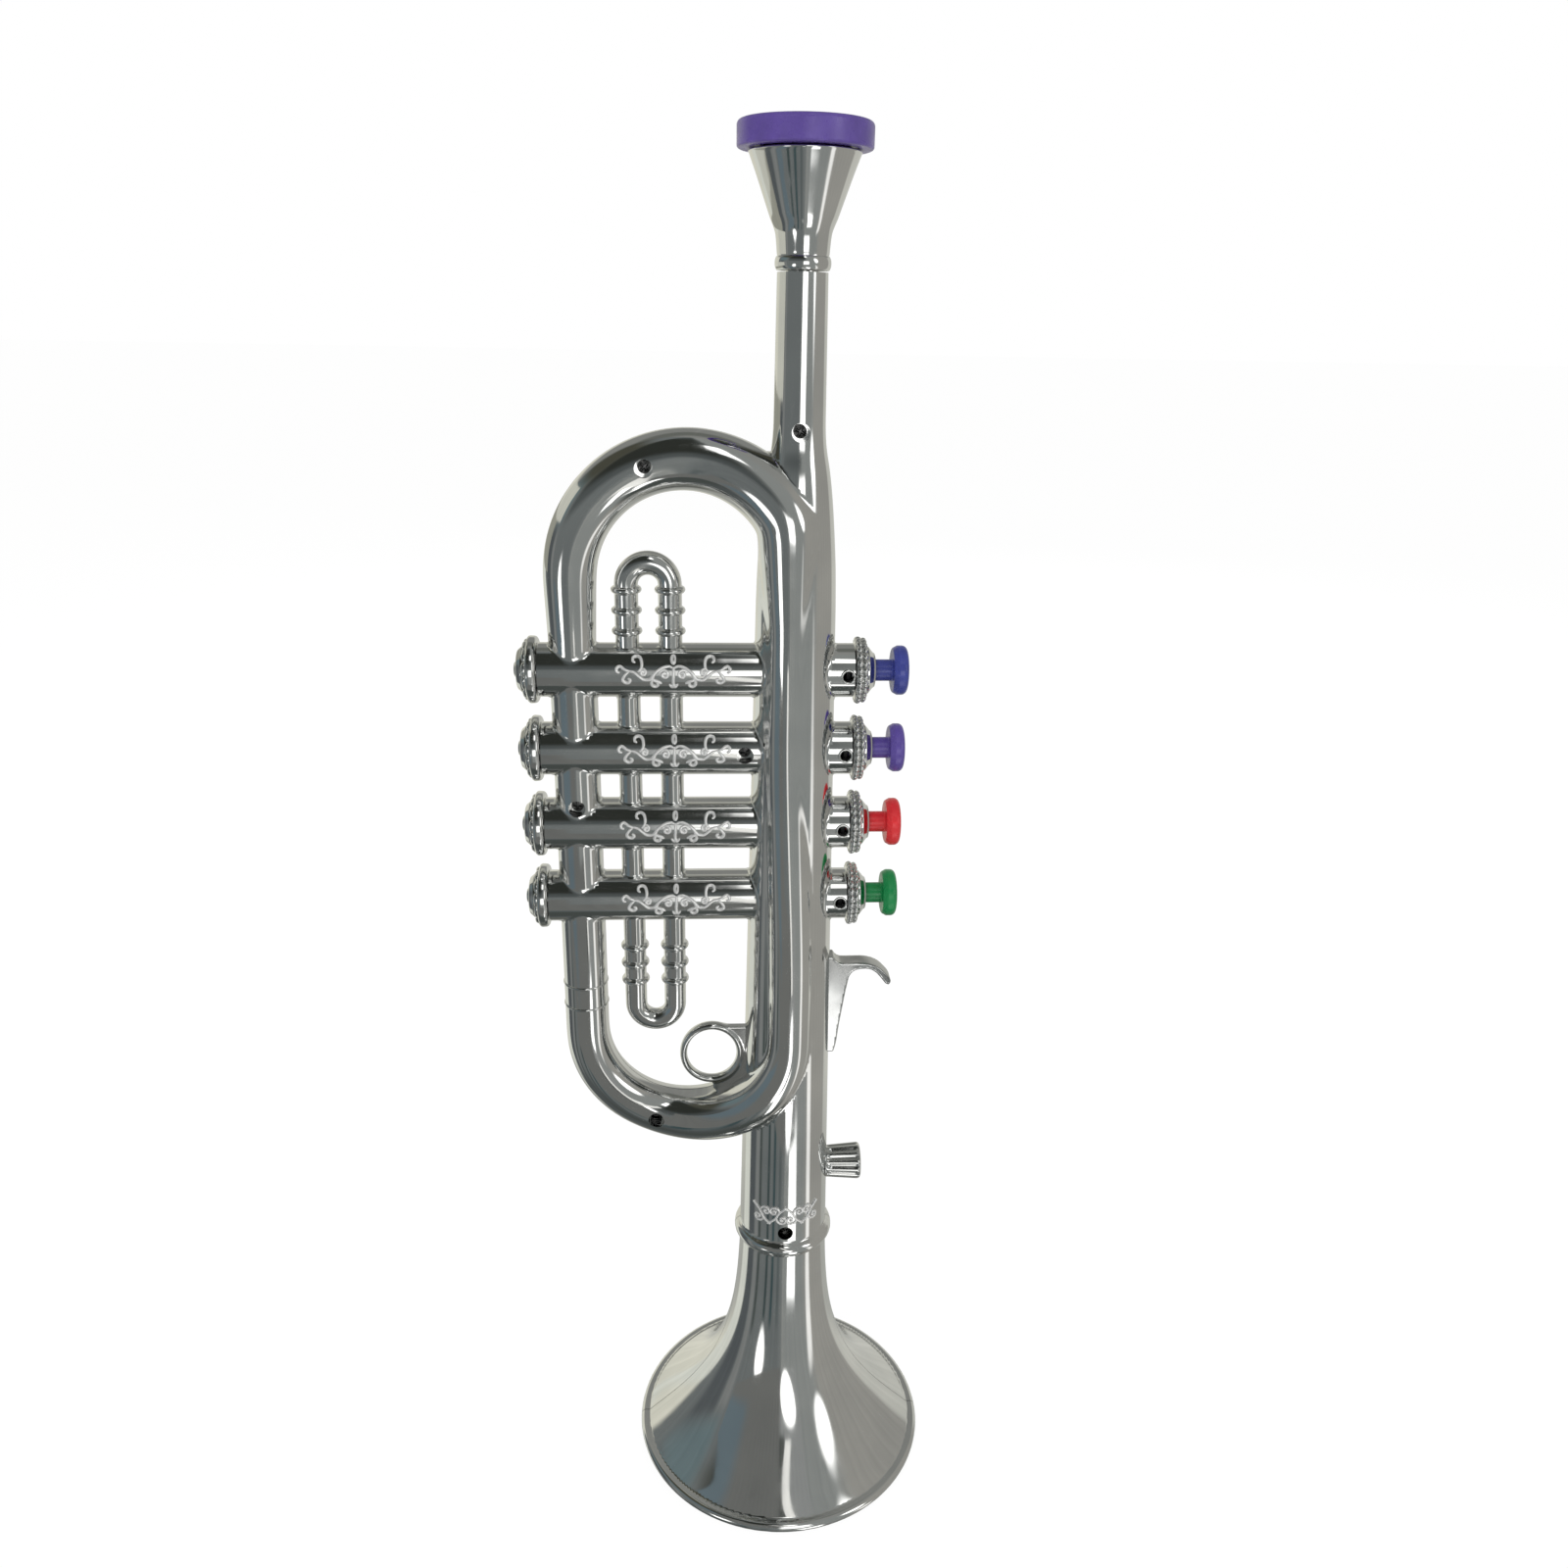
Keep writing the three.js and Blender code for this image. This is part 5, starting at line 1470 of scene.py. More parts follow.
@dataclass
class TuningSlides:
    """The two ringed U-bends in line with the bars."""

    middle: float = -36.7
    half_spacing: float = 5.4
    radius: float = 2.95
    ring_proud: float = 0.87
    ring_half: float = 0.85
    pitch: float = 5.2
    inset: float = 3.2
    upper: Triple = (253.75, 268.6, 1.2)
    lower: Triple = (177.47, 151.35, 7.5)

    def slide(self, side: int, casing_edge: float, bend: float, first_ring: float) -> Surface:
        """Two legs and a half-round bend; each ring swells the tube as an ellipse over its length.

        Args:
            side: 1 for the upper slide, -1 for the lower.
            casing_edge: height where the legs leave the casing.
            bend: height of the bend's centre.
            first_ring: distance of the nearest ring from the bend's centre.

        Returns:
            The slide's surface.
        """
        start = casing_edge - side * self.inset
        leg = np.linspace(0, abs(bend - start), 160)
        left = columns(np.full_like(leg, -self.half_spacing), leg - leg[-1])
        angle = np.radians(np.linspace(180, 0, 41))[1:-1]
        arch = columns(self.half_spacing * np.cos(angle), self.half_spacing * np.sin(angle))
        line = np.vstack([left, arch, left[::-1] * (-1, 1)])
        path = columns(self.middle + line[:, 0], np.zeros(len(line)), bend + side * line[:, 1])
        swell = np.zeros(len(line))
        for number in range(3):
            off = (-line[:, 1] - first_ring - number * self.pitch) / self.ring_half
            swell = np.maximum(swell, self.ring_proud * np.sqrt(np.maximum(1 - off ** 2, 0)))
        return tube(path, self.radius + swell, 28, np.array([0.0, 1.0, 0.0]))

    def build(self, shop: Workshop) -> None:
        """Publishes both slides."""
        shop.skin("tuning_slide_upper", [self.slide(1, *self.upper)], CHROME_FITTINGS)
        shop.skin("tuning_slide_lower", [self.slide(-1, *self.lower)], CHROME_FITTINGS)


@dataclass
class HandHolds:
    """Finger ring, finger hook and fluted thumb knob."""

    body: Body
    ring_centre: Pair = (-21.19, 134.79)
    ring_inner: float = 7.0
    ring_outer: float = 9.0
    ring_depth: float = 1.5
    ring_stretch: float = 1.08
    web_depth: float = 1.2
    hook_top: float = 165.93
    hook_height: float = 30.2
    hook_reach: float = 17.2
    hook_depth: float = 2.6
    knob_height: float = 96.82
    knob_length: float = 9.6
    flutes: int = 12
    flute_depth: float = 0.62
    pitch: float = 0.45

    def ring(self) -> Surface:
        """Oval-section ring with a web up to the main tube and one down to the foot bend."""
        x, z = self.ring_centre
        angle = np.radians(np.linspace(88, -88, 30))
        reach = (self.ring_inner + self.ring_outer) / 2
        inner = columns(x + reach * np.cos(angle), z + self.ring_stretch * reach * np.sin(angle))
        web = [[x + 0.3, z + 8.6], [x + 14.0, z + 8.6], [x + 14.0, z - 15.0], [x + 0.3, z - 15.0]]
        outline = np.vstack([web, inner[::-1]])
        eye = Eye(self.ring_centre, reach, (self.ring_outer - self.ring_inner) / 2, self.ring_depth,
                  self.ring_stretch)
        return Moulding([(Plate(outline, self.web_depth, 0.35), 0.5), (eye, 0.5)]).meshed(self.pitch)

    def hook(self) -> Surface:
        """Hook: a web that tapers down the tube and a curved arm with a rounded lip."""
        face = float(self.body.profile.radius(self.hook_top - self.hook_height / 2))

        def at(shares: Sequence[Pair]) -> list[Pair]:
            """Places from shares of the hook's reach and height."""
            return [(face + self.hook_reach * a, self.hook_top - self.hook_height * (1 - b))
                    for a, b in shares]

        inside = spline(at([(0.09, 0.0), (0.13, 0.10), (0.165, 0.28), (0.212, 0.47), (0.25, 0.62),
                            (0.285, 0.735), (0.305, 0.79), (0.345, 0.83), (0.41, 0.858), (0.50, 0.87),
                            (0.60, 0.869), (0.69, 0.85), (0.77, 0.81), (0.84, 0.76), (0.90, 0.715)]), 5)
        tip = spline(at([(0.90, 0.715), (0.95, 0.705), (0.985, 0.735), (0.96, 0.775), (0.89, 0.825),
                         (0.80, 0.875), (0.69, 0.91), (0.57, 0.928), (0.45, 0.933), (0.32, 0.932),
                         (0.2, 0.932), (0.13, 0.94), (0.075, 0.965)]), 5)
        outline = np.vstack([inside, tip[1:], at([(0.045, 0.995), (-0.22, 0.995), (-0.22, 0.0)])])
        return Moulding([(Plate(outline, self.hook_depth, 0.45), 0.5)]).meshed(self.pitch)

    def knob(self) -> Surface:
        """Knob: a taper whose radius dips once a flute, the dips fading into rounded ends."""
        start, end = float(self.body.profile.radius(self.knob_height)) - 0.6, self.knob_length + 0.9
        rows = filled(arcs([(0, 0, 0), (4.5, 0, 0.5), (5.3, end, 0.9), (0, end, 0)], 8), 0.6)
        around = round_angles(144)
        body_rows = rows[1:-1]
        fade = ease((body_rows[:, 1] - 0.4) / 1.2) * ease((self.knob_length + 0.7 - body_rows[:, 1]) / 1.0)
        side = ease((body_rows[:, 0] - 3.6) / 0.8)
        flute = (0.5 - 0.5 * np.cos(self.flutes * around))[None, :] ** 1.5
        ripple = -self.flute_depth * flute * (fade * side)[:, None]
        return laid(turned(rows, 144, ripple), "x").moved((start, 0, self.knob_height))

    def build(self, shop: Workshop) -> None:
        """Publishes the three hand holds."""
        shop.skin("finger_ring", [self.ring()], CHROME_FITTINGS)
        shop.skin("finger_hook", [self.hook()], CHROME_UNEVEN)
        shop.skin("thumb_knob", [self.knob()], CHROME_FITTINGS)


@dataclass
class Valves:
    """End caps, key collars, keys, pads and springs of the four valves."""

    cap_seat: float = 64.5
    cap_radius: float = 8.6
    collar_seat: float = 15.2
    spigot: float = 4.9
    stem_radius: float = 2.75
    slide_gap: float = 0.3
    key_base: float = 24.9
    key_end: float = 28.95
    key_radius: float = 6.3
    travel: float = 3.0
    spring_start: float = 6.6
    spring_end: float = 12.2
    spring_turns: float = 4.5
    spring_radius: float = 4.0
    wire: float = 0.3

    def cap(self) -> list[Surface]:
        """Left cap: a rolled flange, a row of beads on its face and a stepped dome in the middle."""
        s = self.cap_seat
        profile = arcs([
            (0, s - 3, 0), (self.spigot, s - 3, 0.3), (self.spigot, s, 0), (self.cap_radius - 0.2, s, 0.9),
            (self.cap_radius, s + 2.5, 1.1), (6.9, s + 2.6, 0.25), (6.7, s + 2.15, 0.2), (6.0, s + 2.2, 0.25),
            (5.9, s + 3.9, 0.6), (4.9, s + 5.1, 1.0), (2.9, s + 5.35, 0.3), (2.7, s + 5.05, 0.2),
            (2.2, s + 5.1, 0.2), (1.8, s + 6.05, 0.7), (0, s + 6.05, 0)], 6)
        beads = beaded_ring(6.95, 0.78, 12, s + 2.75, 12, 12)
        return [laid(turned(profile, 72), "x", -1), laid(beads, "x", -1)]

    def collar(self) -> list[Surface]:
        """Right collar: two bead rows, a groove, a cone and a short nose round the stem."""
        s, bore = self.collar_seat, self.stem_radius + self.slide_gap
        profile = arcs([
            (bore + 0.2, s - 0.9, 0), (self.spigot, s - 0.9, 0.15), (self.spigot, s, 0), (7.3, s, 0.2),
            (7.5, s + 0.6, 0.2), (7.4, s + 1.3, 0.2), (7.5, s + 2.0, 0.2), (7.1, s + 2.75, 0.35),
            (6.35, s + 2.8, 0.2), (6.1, s + 2.95, 0.2), (6.1, s + 3.5, 0.3), (4.6, s + 4.7, 0.5),
            (4.3, s + 5.2, 0.2), (bore, s + 5.2, 0.15), (bore, s - 0.9, 0)], 6)
        low = beaded_ring(7.75, 0.85, 26, s + 0.85)
        high = beaded_ring(7.6, 0.72, 26, s + 2.2)
        return [laid(turned(profile, 72), "x"), laid(low, "x"), laid(high, "x")]

    def rod(self) -> Surface:
        """The key's inner end: pad head, rod and stop flange, near-black as painted shade seen through the
        casing's hole.
        """
        profile = arcs([
            (0, 1.9, 0), (2.1, 1.9, 0.15), (2.1, 2.7, 0.15), (1.0, 2.7, 0.1), (1.0, 4.5, 0.1),
            (1.5, 4.5, 0.1), (1.5, 12.8, 0.1), (4.7, 12.8, 0.2), (4.7, 14.0, 0.2), (1.0, 14.0, 0.1),
            (0, 14.0, 0)], 7)
        return laid(turned(profile, 72, finish=1), "x")

    def key(self) -> Surface:
        """Key: stem and a round push cap with a bevelled inner face and a softly crowned outer one."""
        profile = arcs([
            (0, 13.9, 0), (self.stem_radius, 13.9, 0.1),
            (self.stem_radius, self.key_base, 0.35), (5.6, self.key_base + 0.05, 0.6),
            (self.key_radius, self.key_base + 1.3, 0.8), (self.key_radius, self.key_end - 0.4, 1.4),
            (3.4, self.key_end, 1.0), (0, self.key_end, 0)], 7)
        return laid(turned(filled(profile, 1.5), 72), "x")

    def pad(self) -> Surface:
        """Rubber pad on the key's neck, with rounded edges."""
        profile = arcs([(1.3, 3.1, 0), (3.6, 3.1, 0.3), (3.6, 4.2, 0.3), (1.3, 4.2, 0.1), (1.3, 3.15, 0)], 5)
        return laid(turned(profile, 40), "x")

    def spring(self) -> Surface:
        """Return spring: a helix of even turns whose advance along x eases in and out."""
        share = np.linspace(0, 1, 260)
        along = self.spring_start + (self.spring_end - self.spring_start) * ease(share)
        angle = 2 * math.pi * self.spring_turns * share
        path = columns(along, self.spring_radius * np.cos(angle), self.spring_radius * np.sin(angle))
        return tube(path, self.wire, 10, np.array([1.0, 0.0, 0.0]))

    def build(self, shop: Workshop) -> None:
        """Publishes every valve's pieces, the key and its pad on the key's own body."""
        for number, (height, finish) in enumerate(zip(VALVE_HEIGHTS, KEY_FINISHES), 1):
            up = (0, 0, height)
            key = f"key_{number}"
            shop.skin(f"bottom_cap_{number}", [part.moved(up) for part in self.cap()], CHROME_FITTINGS)
            shop.skin(f"key_collar_{number}", [part.moved(up) for part in self.collar()], CHROME_FITTINGS)
            # The rod takes the near-black finish: painted shade inside the casing's hole.
            shop.skin(key, [self.key().moved(up), self.rod().moved(up)], [finish, ROD_PAINTED_SHADE], finish.name, key)
            shop.skin(f"valve_pad_{number}", [self.pad().moved(up)], PAD_RUBBER, "pad_rubber", key)
            coil = self.spring().moved(up)
            spring = shop.skin(f"key_spring_{number}", [coil], SPRING_STEEL, "spring_steel")
            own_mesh(spring)


@dataclass
class Screws:
    """The six cross-head screws that hold the halves together."""

    body: Body
    head_radius: float = 1.6
    head_seat: float = 1.9
    head_top: float = 3.2
    shank: float = 0.9
    reach: float = -3.4
    arm: float = 0.26
    arm_length: float = 1.05
    depth: float = 0.7
    twist: float = 23.0
    crown: float = 0.42

    def screw(self) -> Surface:
        """Domed head with a cross recess: the top sinks where |x| or |y| is under the arm's width."""
        angle = round_angles(96)
        rings = np.linspace(0.06, 1.0, 18) * self.head_radius
        x, y = rings[:, None] * np.cos(angle), rings[:, None] * np.sin(angle)
        dome = self.head_top - self.crown * (rings[:, None] / self.head_radius) ** 2 * np.ones_like(x)
        near = np.minimum(np.abs(x), np.abs(y))
        sunk = 1 - ease((near - self.arm + 0.1) / 0.18)
        sunk = sunk * (1 - ease((rings[:, None] - self.arm_length) / 0.2))
        top = np.stack([x, y, dome - self.depth * sunk], axis=2)
        side = [(self.head_radius, self.head_top - 0.6), (self.head_radius, self.head_seat),
                (self.shank, self.head_seat - 0.02), (self.shank, self.reach + 0.9), (0.4, self.reach + 0.2)]
        lower = np.array([[[r * np.cos(a), r * np.sin(a), h] for a in angle] for r, h in side])
        grid = np.concatenate([top, lower])
        poles = UPRIGHT * (self.head_top - self.depth), UPRIGHT * self.reach
        return laid(grid_surface(grid, *poles), "y", -1)

    def build(self, shop: Workshop) -> None:
        """Publishes the screws, each turned a little differently in its well."""
        for number, (x, z) in enumerate(self.body.wells, 1):
            screw = self.screw().spun(rotation(1, math.radians(self.twist * number)))
            shop.skin(f"screw_{number}", [screw.moved((x, 0, z))], SCREW_STEEL, "screw_steel")


@dataclass
class InnerWorks:
    """Reed block, cover and reed plates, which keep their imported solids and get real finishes."""

    def build(self, shop: Workshop) -> None:
        """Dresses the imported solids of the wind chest."""
        finishes: dict[str, Finish] = {"reed_block": INNER_PLASTIC, "reed_cover": INNER_PLASTIC}
        finishes |= {f"reed_plate_{number}": REED_BRASS for number in range(1, 5)}
        for name, finish in finishes.items():
            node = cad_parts[name]
            node.data.materials.clear()
            node.data.materials.append(shop.wear(finish))
            LOG.info("%s: %s", name, finish.name)


# Studio


class RoomShape(Enum):
    """What a painted part of the reflected room is: a far dome, or a flat wall close by."""

    DOME = "dome"
    WALL = "wall"


@dataclass(frozen=True)
class Card:
    """A soft-edged patch of the reflected room.

    On a dome its places are azimuth (0 towards the camera, 90 towards +X) and elevation in degrees,
    and on a wall they are millimetres along and up. The grey is the one that chrome shows, out of
    255. A lean shifts the patch along by so much for each unit up. An oval patch has no corners.
    """

    name: str
    along: Pair
    up: Pair
    grey: Triple
    soft: Pair = (4.0, 6.0)
    lean: float = 0.0
    oval: bool = False

    def share(self, along: Array, up: Array, period: float) -> Array:
        """How much of the patch covers a place: smooth steps at its edges, or across an oval's."""
        middle, half = sum(self.along) / 2, (self.along[1] - self.along[0]) / 2
        height, tall = sum(self.up) / 2, (self.up[1] - self.up[0]) / 2
        across = np.abs((along - middle - self.lean * (up - height) + period / 2) % period - period / 2)
        rise = np.abs(up - height)
        if self.oval:
            return 1 - ease((np.hypot(across / half, rise / tall) - 1) * half / self.soft[0] + 0.5)
        beside = 1 - ease((across - half) / self.soft[0] + 0.5)
        return beside * (1 - ease((rise - tall) / self.soft[1] + 0.5))

    def light(self) -> Array:
        """The light that chrome turns into this grey: display grey to linear, over the reflectance."""
        return (np.array(self.grey) / 255) ** DISPLAY_POWER / CHROME_SHINE


@dataclass(frozen=True)
class Surround:
    """A part of the room that only mirror reflections see: cards painted one over another."""

    name: str
    shape: RoomShape
    along: tuple[float, float, int]
    up: tuple[float, float, int]
    cards: tuple[Card, ...]
    base: Triple
    origin: Pair = (0.0, 0.0)
    heading: Pair = (1.0, 0.0)
    tilt: float = 0.0
    distance: float = 5.0
    streak: float = 0.025

    def tones(self, along: Array, up: Array) -> Array:
        """Light by place: each card is mixed over the ones before it, with faint upright streaks."""
        period = 360.0 if self.shape is RoomShape.DOME else 1e6
        tone = np.ones(along.shape + (1,)) * Card("", (0, 0), (0, 0), self.base).light()
        for card in self.cards:
            tone = tone + (card.light() - tone) * card.share(along, up, period)[..., None]
        streaks = sum(np.sin(np.radians(along) * count + shift)
                      for count, shift in ((37, 0.4), (61, 2.1), (97, 4.0), (143, 1.2)))
        return tone * (1 + self.streak * streaks)[..., None]

    def places(self, along: Array, up: Array, centre: Sequence[float]) -> Array:
        """Points in metres: on the dome by its angles, or on the wall by heading, height and tilt."""
        if self.shape is RoomShape.DOME:
            flat, rise = np.radians(along), np.radians(up)
            ball = np.stack([np.sin(flat) * np.cos(rise), -np.cos(flat) * np.cos(rise), np.sin(rise)], axis=2)
            return ball * self.distance + np.asarray(centre)
        flat = [self.origin[k] + self.heading[k] * (along + self.tilt * (up - self.up[0])) for k in (0, 1)]
        return (np.stack([flat[0], flat[1], up], axis=2) + SHIFT) * MILLIMETRE

    def build(self, centre: Sequence[float]) -> Thing:
        """The painted part as a stage object.

        Args:
            centre: middle of the dome, in metres.

        Returns:
            The object.
        """
        a, e = np.meshgrid(np.linspace(*self.along), np.linspace(*self.up), indexing="ij")
        points = self.places(a, e, centre)
        index = np.arange(a.size).reshape(a.shape)
        square = [index[:-1, :-1], index[1:, :-1], index[1:, 1:], index[:-1, 1:]]
        quads = np.stack(square, axis=2).reshape(-1, 4)
        mesh = bpy.data.meshes.new(self.name)
        mesh.from_pydata(points.reshape(-1, 3).tolist(), [], quads.tolist())
        paint = mesh.attributes.new("room", "FLOAT_COLOR", "POINT")
        colours = np.dstack([self.tones(a, e), np.ones(a.shape)])
        paint.data.foreach_set("color", colours.astype(np.float32).ravel())
        material = bpy.data.materials.new(self.name)
        material.use_nodes = True
        material.cycles.emission_sampling = "NONE"
        tree = material.node_tree
        tree.nodes.clear()
        read, glow, out = added(tree, "Attribute", "Emission", "OutputMaterial")
        read.attribute_name = "room"
        wire(tree, (read.outputs["Color"], glow.inputs["Color"]), (glow.outputs[0], out.inputs[0]))
        mesh.materials.append(material)
        part = linked(self.name, mesh)
        for ray in ("camera", "diffuse", "transmission", "volume_scatter", "shadow"):
            setattr(part, f"visible_{ray}", False)
        return part


WHITE = (330, 330, 328)
FAR_ROOM = Surround("far_room", RoomShape.DOME, (-180, 180, 481), (-90, 90, 181), (
    Card("wall_left", (-175, -100), (-70, 60), (201, 200, 187), (20, 20)),
    Card("ceiling_back", (100, 260), (24, 95), (124, 125, 122), (20, 14)),
    Card("ceiling_gap", (100, 260), (60, 80), (98, 100, 96), (20, 10)),
    Card("floor_back", (100, 260), (-60, -36), (156, 157, 152), (20, 12)),
    Card("floor_back_dark", (100, 260), (-95, -58), (92, 94, 90), (20, 14)),
    Card("room_left", (-121, 0), (-95, 95), (102, 106, 106)),
    Card("room_right", (0, 121), (-95, 95), (143, 142, 137)),
    Card("room_middle", (-2, 56), (-95, 95), (130, 133, 131), (16, 6)),
    Card("dark_left", (-108, -86), (-60, 12), (80, 84, 86), (6, 14)),
    Card("blue_left", (-112, -76), (14, 42), (98, 112, 115), (10, 12)),
    Card("light_line", (-84, -74), (-70, 8), (118, 120, 119), (5, 12)),
    Card("dark_line_1", (-71, -65), (-75, -28), (68, 74, 72)),
    Card("dark_line_2", (-47, -41), (-75, -29), (60, 70, 70)),
    Card("dark_line_3", (-31, -25), (-75, -29), (60, 74, 76)),
    Card("dark_line_4", (-16, -10), (-75, -29), (88, 94, 94)),
    Card("light_low_left", (-135, -109), (-60, -6), (203, 205, 196), (4, 8), -0.45),
    Card("floor_left", (-118, -20), (-95, -46), (78, 82, 82), (14, 14)),
    Card("floor_front", (-60, 70), (-95, -56), (70, 74, 72), (24, 14)),
    Card("lamp_neck", (-1, 20), (-10, 11), WHITE, (4, 4)),
    Card("ceiling_step", (-66, 6), (14, 95), (76, 80, 80), (14, 12)),
    Card("ceiling_dark", (-66, 4), (30, 84), (48, 50, 47), (16, 16)),
    Card("ceiling_left", (-121, -62), (34, 70), (70, 70, 62), (20, 16)),
    Card("ceiling_right", (44, 130), (46, 95), (130, 131, 128), (20, 14)),
    Card("lamp_right", (43, 59), (2, 32), WHITE, (4, 7), -0.12, True),
    Card("lamp_right_low", (57, 68), (-52, -13), (240, 239, 236), (4, 5), -0.6, True),
    Card("lamp_left", (-49, -34), (-28, -6), WHITE, (4, 6), 0.2, True),
    Card("lamp_low", (15, 34.5), (-62, -35), WHITE, (3, 3), -0.4),
    Card("lamp_high", (3, 14), (45, 62), WHITE, (4, 5)),
), (182, 182, 175))
NEAR_FRONT = Surround("near_front", RoomShape.WALL, (-75, 62, 70), (12, 132, 61), (
    Card("panel_middle", (-6, 90), (-50, 260), (134, 136, 135), (10, 10)),
    Card("panel_dark", (-8, 7), (80, 260), (82, 84, 82), (6, 12)),
    Card("panel_lamp", (-4, 46), (14, 72), WHITE, (5, 5), 0.25, True),
), (103, 104, 102), origin=(0, -150), streak=0.03)
NEAR_LEFT = Surround("near_left", RoomShape.WALL, (-420, -75, 116), (12, 195, 92), (
    Card("panel_blue", (-500, -150), (60, 260), (94, 106, 112), (60, 40)),
), (103, 104, 102), origin=(0, -150))
NEAR_STRIP = Surround("near_strip", RoomShape.WALL, (-8, 9, 9), (84, 212, 65), (), (234, 233, 229),
                      origin=(18, -149.5), tilt=-0.31)
NEAR_NECK = Surround("near_neck", RoomShape.WALL, (-16, 115, 40), (306, 352, 12), (),
                     (186, 186, 176), origin=(-150, 0), heading=(0, 1))
NEAR_BEND = Surround("near_bend", RoomShape.WALL, (20, 400, 60), (258, 306, 12), (),
                     (142, 142, 132), origin=(-150, 0), heading=(0, 1))


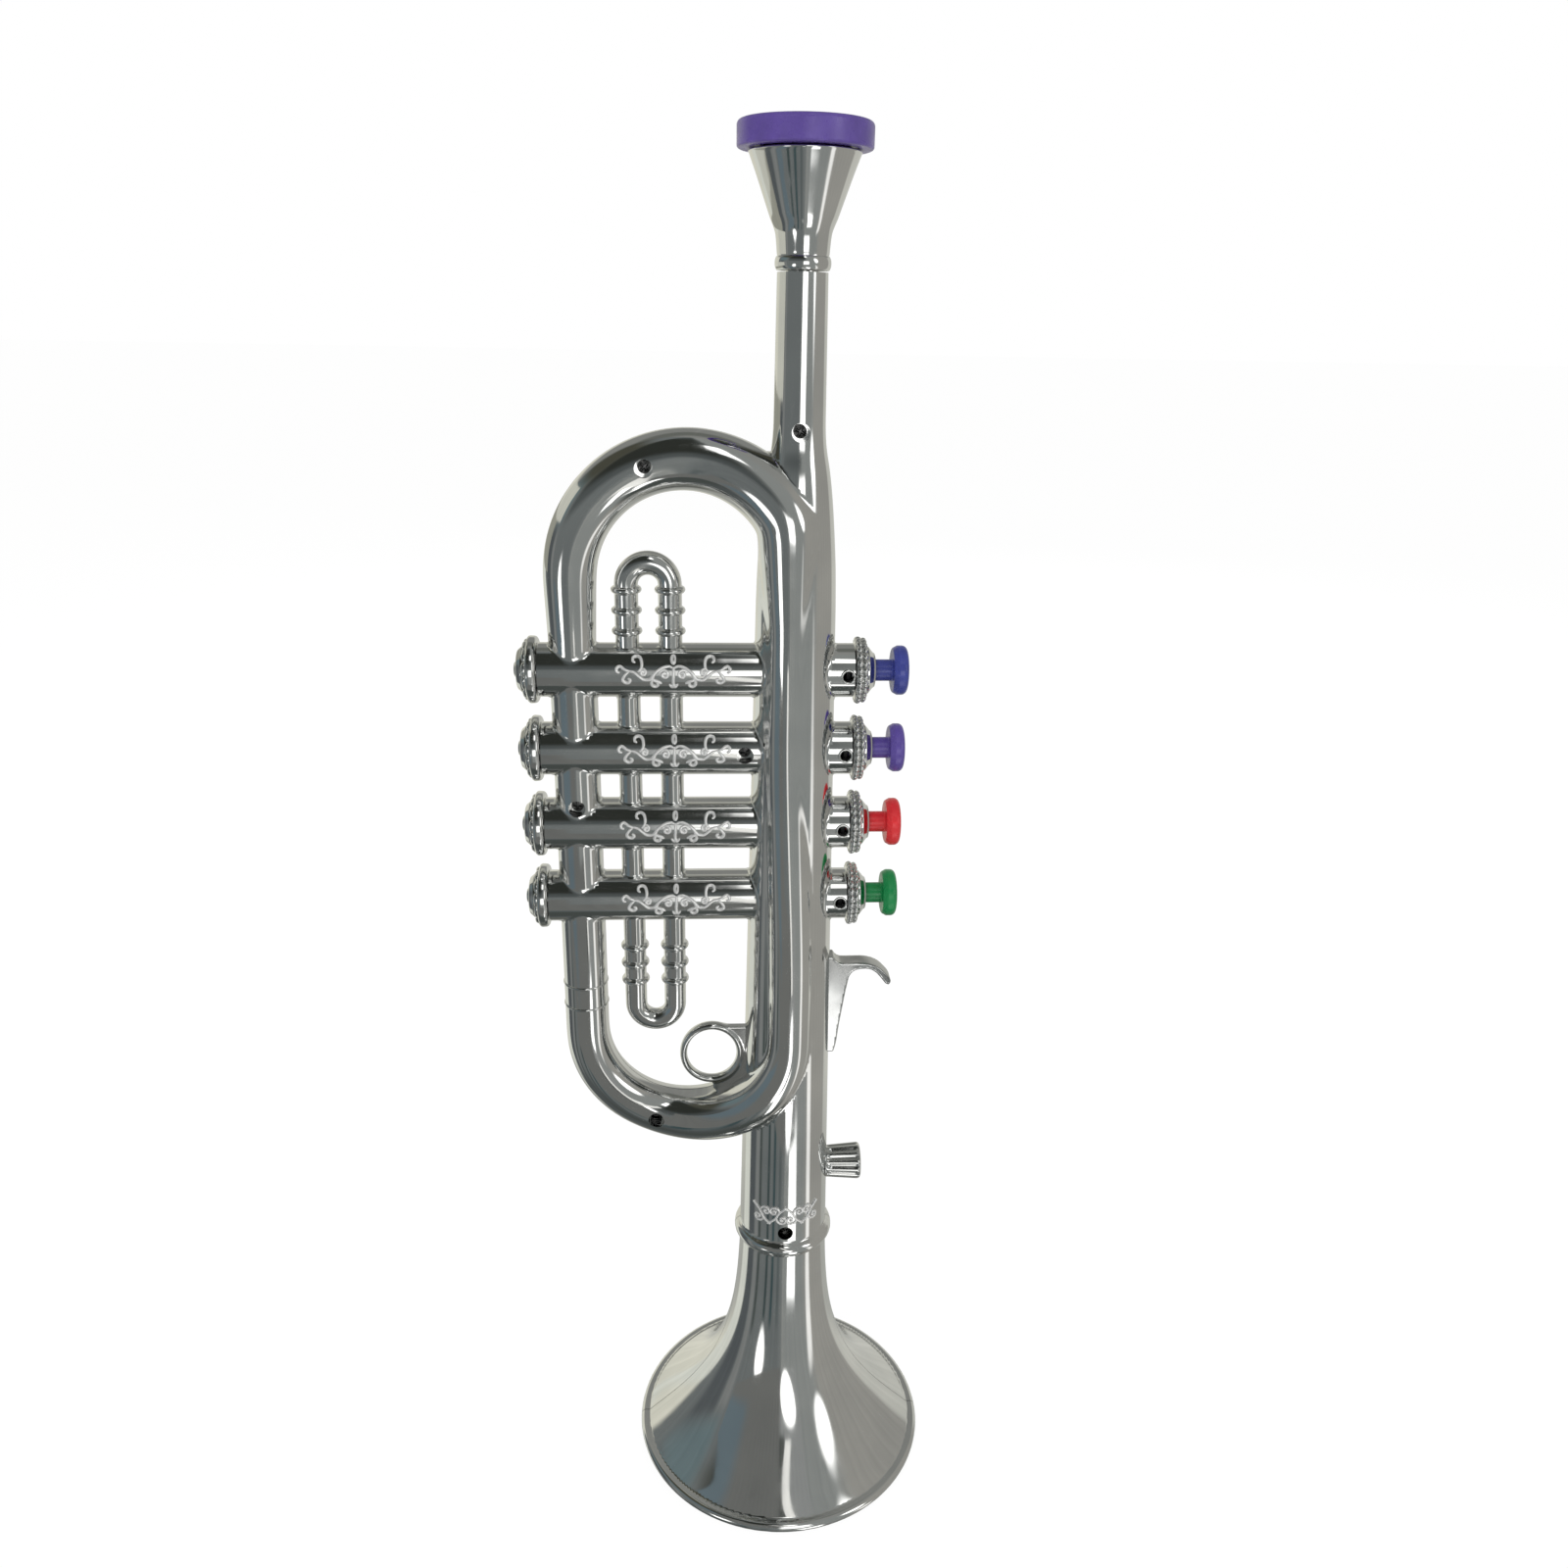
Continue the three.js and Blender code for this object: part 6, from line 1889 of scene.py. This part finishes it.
@dataclass
class Studio:
    """Camera, pale floor, soft lamps and the room that the chrome reflects."""

    eye: Triple = (-8.689, -311.789, 331.735)
    pitch: float = 0.355
    yaw: float = -0.064
    roll: float = 0.019
    lens: float = 29.084
    sensor: float = 36.0
    centre: Triple = (0.0, 0.0, 0.2)
    floor_reach: float = 12.0
    floor_gap: float = 0.0004
    floor_share: float = 0.9
    floor_glow: float = 1.04
    lamps: tuple[tuple[str, Triple, float], ...] = (
        ("key_lamp", (-0.7, -1.0, 1.1), 9.0), ("fill_lamp", (1.0, -0.8, 0.6), 4.0),
        ("back_lamp", (0.3, 1.2, 0.9), 5.0))
    lamp_size: float = 0.9
    room: tuple[Surround, ...] = (FAR_ROOM, NEAR_FRONT, NEAR_LEFT, NEAR_STRIP, NEAR_NECK, NEAR_BEND)

    def camera(self) -> None:
        """Camera where the photograph was taken: three turns give its right, down and forward rows."""
        upright = np.array([[1, 0, 0], [0, 0, -1], [0, 1, 0]], float)
        turns = rotation(2, self.roll) @ rotation(0, self.pitch) @ rotation(1, self.yaw)
        right, down, forward = turns @ upright
        placed = np.eye(4)
        placed[:3] = columns(right, -down, -forward, np.array(self.eye) * MILLIMETRE)
        data = bpy.data.cameras.new("photograph_view")
        data.lens, data.sensor_width = self.lens, self.sensor
        data.clip_start, data.clip_end = 0.01, 100.0
        camera = linked("photograph_view", data)
        camera.matrix_world = Matrix(placed.tolist())
        bpy.context.scene.camera = camera

    def floor(self) -> None:
        """Pale floor that keeps a faint shadow and reads as white to the camera."""
        reach, level = self.floor_reach, -self.floor_gap
        mesh = bpy.data.meshes.new("floor")
        mesh.from_pydata([(-reach, -reach, level), (reach, -reach, level), (reach, reach, level),
                          (-reach, reach, level)], [], [(0, 1, 2, 3)])
        w = Wiring("pale_floor")
        preset(w.shader, {"Base Color": (0.86, 0.86, 0.85, 1), "Roughness": 0.9})
        ray, glow, mix, share = added(w.tree, "LightPath", "Emission", "MixShader", "Math")
        share.operation = "MULTIPLY"
        share.inputs[1].default_value = self.floor_share
        glow.inputs["Strength"].default_value = self.floor_glow
        wire(w.tree, (ray.outputs["Is Camera Ray"], share.inputs[0]), (share.outputs[0], mix.inputs[0]),
             (w.shader.outputs[0], mix.inputs[1]), (glow.outputs[0], mix.inputs[2]),
             (mix.outputs[0], w.tree.nodes["Material Output"].inputs[0]))
        mesh.materials.append(w.material)
        floor = linked("floor", mesh)
        floor.visible_glossy = False

    def world(self) -> None:
        """Plain world: white to the camera, pale in reflections, softer as light on the trumpet."""
        world = bpy.data.worlds.new("studio")
        bpy.context.scene.world = world
        world.use_nodes = True
        tree = world.node_tree
        tree.nodes.clear()
        ray, out, either = added(tree, "LightPath", "OutputWorld", "Math")
        mix, which = added(tree, "MixShader", "MixShader")
        seen, soft, reflected = added(tree, "Background", "Background", "Background")
        either.operation = "MAXIMUM"
        for light, colour, strength in ((seen, (1, 1, 1, 1), 1.0), (soft, (1, 1, 1, 1), 0.62),
                                        (reflected, (0.95, 0.96, 0.92, 1), 0.72)):
            preset(light, {"Color": colour, "Strength": strength})
        wire(tree, (ray.outputs["Is Glossy Ray"], either.inputs[0]),
             (ray.outputs["Is Transmission Ray"], either.inputs[1]), (either.outputs[0], which.inputs[0]),
             (soft.outputs[0], which.inputs[1]), (reflected.outputs[0], which.inputs[2]),
             (ray.outputs["Is Camera Ray"], mix.inputs[0]), (which.outputs[0], mix.inputs[1]),
             (seen.outputs[0], mix.inputs[2]), (mix.outputs[0], out.inputs[0]))

    def lamp(self, name: str, place: Triple, power: float) -> None:
        """A square soft lamp aimed at the trumpet's middle, left out of mirror reflections."""
        data = bpy.data.lights.new(name, "AREA")
        data.shape, data.size, data.energy = "SQUARE", self.lamp_size, power
        lamp = linked(name, data)
        back = unit(np.asarray(place, float) - np.asarray(self.centre))
        right = unit(np.cross(UPRIGHT, back))
        placed = np.eye(4)
        placed[:3] = columns(right, np.cross(back, right), back, place)
        lamp.matrix_world = Matrix(placed.tolist())
        lamp.visible_glossy = False

    def build(self) -> None:
        """Sets the whole studio."""
        bpy.context.scene.view_settings.view_transform = "Standard"
        self.camera()
        self.floor()
        self.world()
        for lamp in self.lamps:
            self.lamp(*lamp)
        for part in self.room:
            part.build(self.centre)


def corners(box: Sequence[Sequence[float]]) -> list[list[float]]:
    """A box as plain lists of numbers."""
    return [[float(value) for value in corner] for corner in box]


def main() -> None:
    """Builds the studio and every sub-assembly in order."""
    logging.basicConfig(level=logging.INFO, format="%(name)s %(message)s", stream=sys.stdout)
    Studio().build()
    shop = Workshop()
    body = Body()
    assemblies = (body, Trim(body), Mouthpiece(), TuningSlides(), HandHolds(body), Valves(), Screws(body),
                  InnerWorks())
    for assembly in assemblies:
        LOG.info("building %s", type(assembly).__name__)
        assembly.build(shop)


if __name__ == "__main__":
    main()
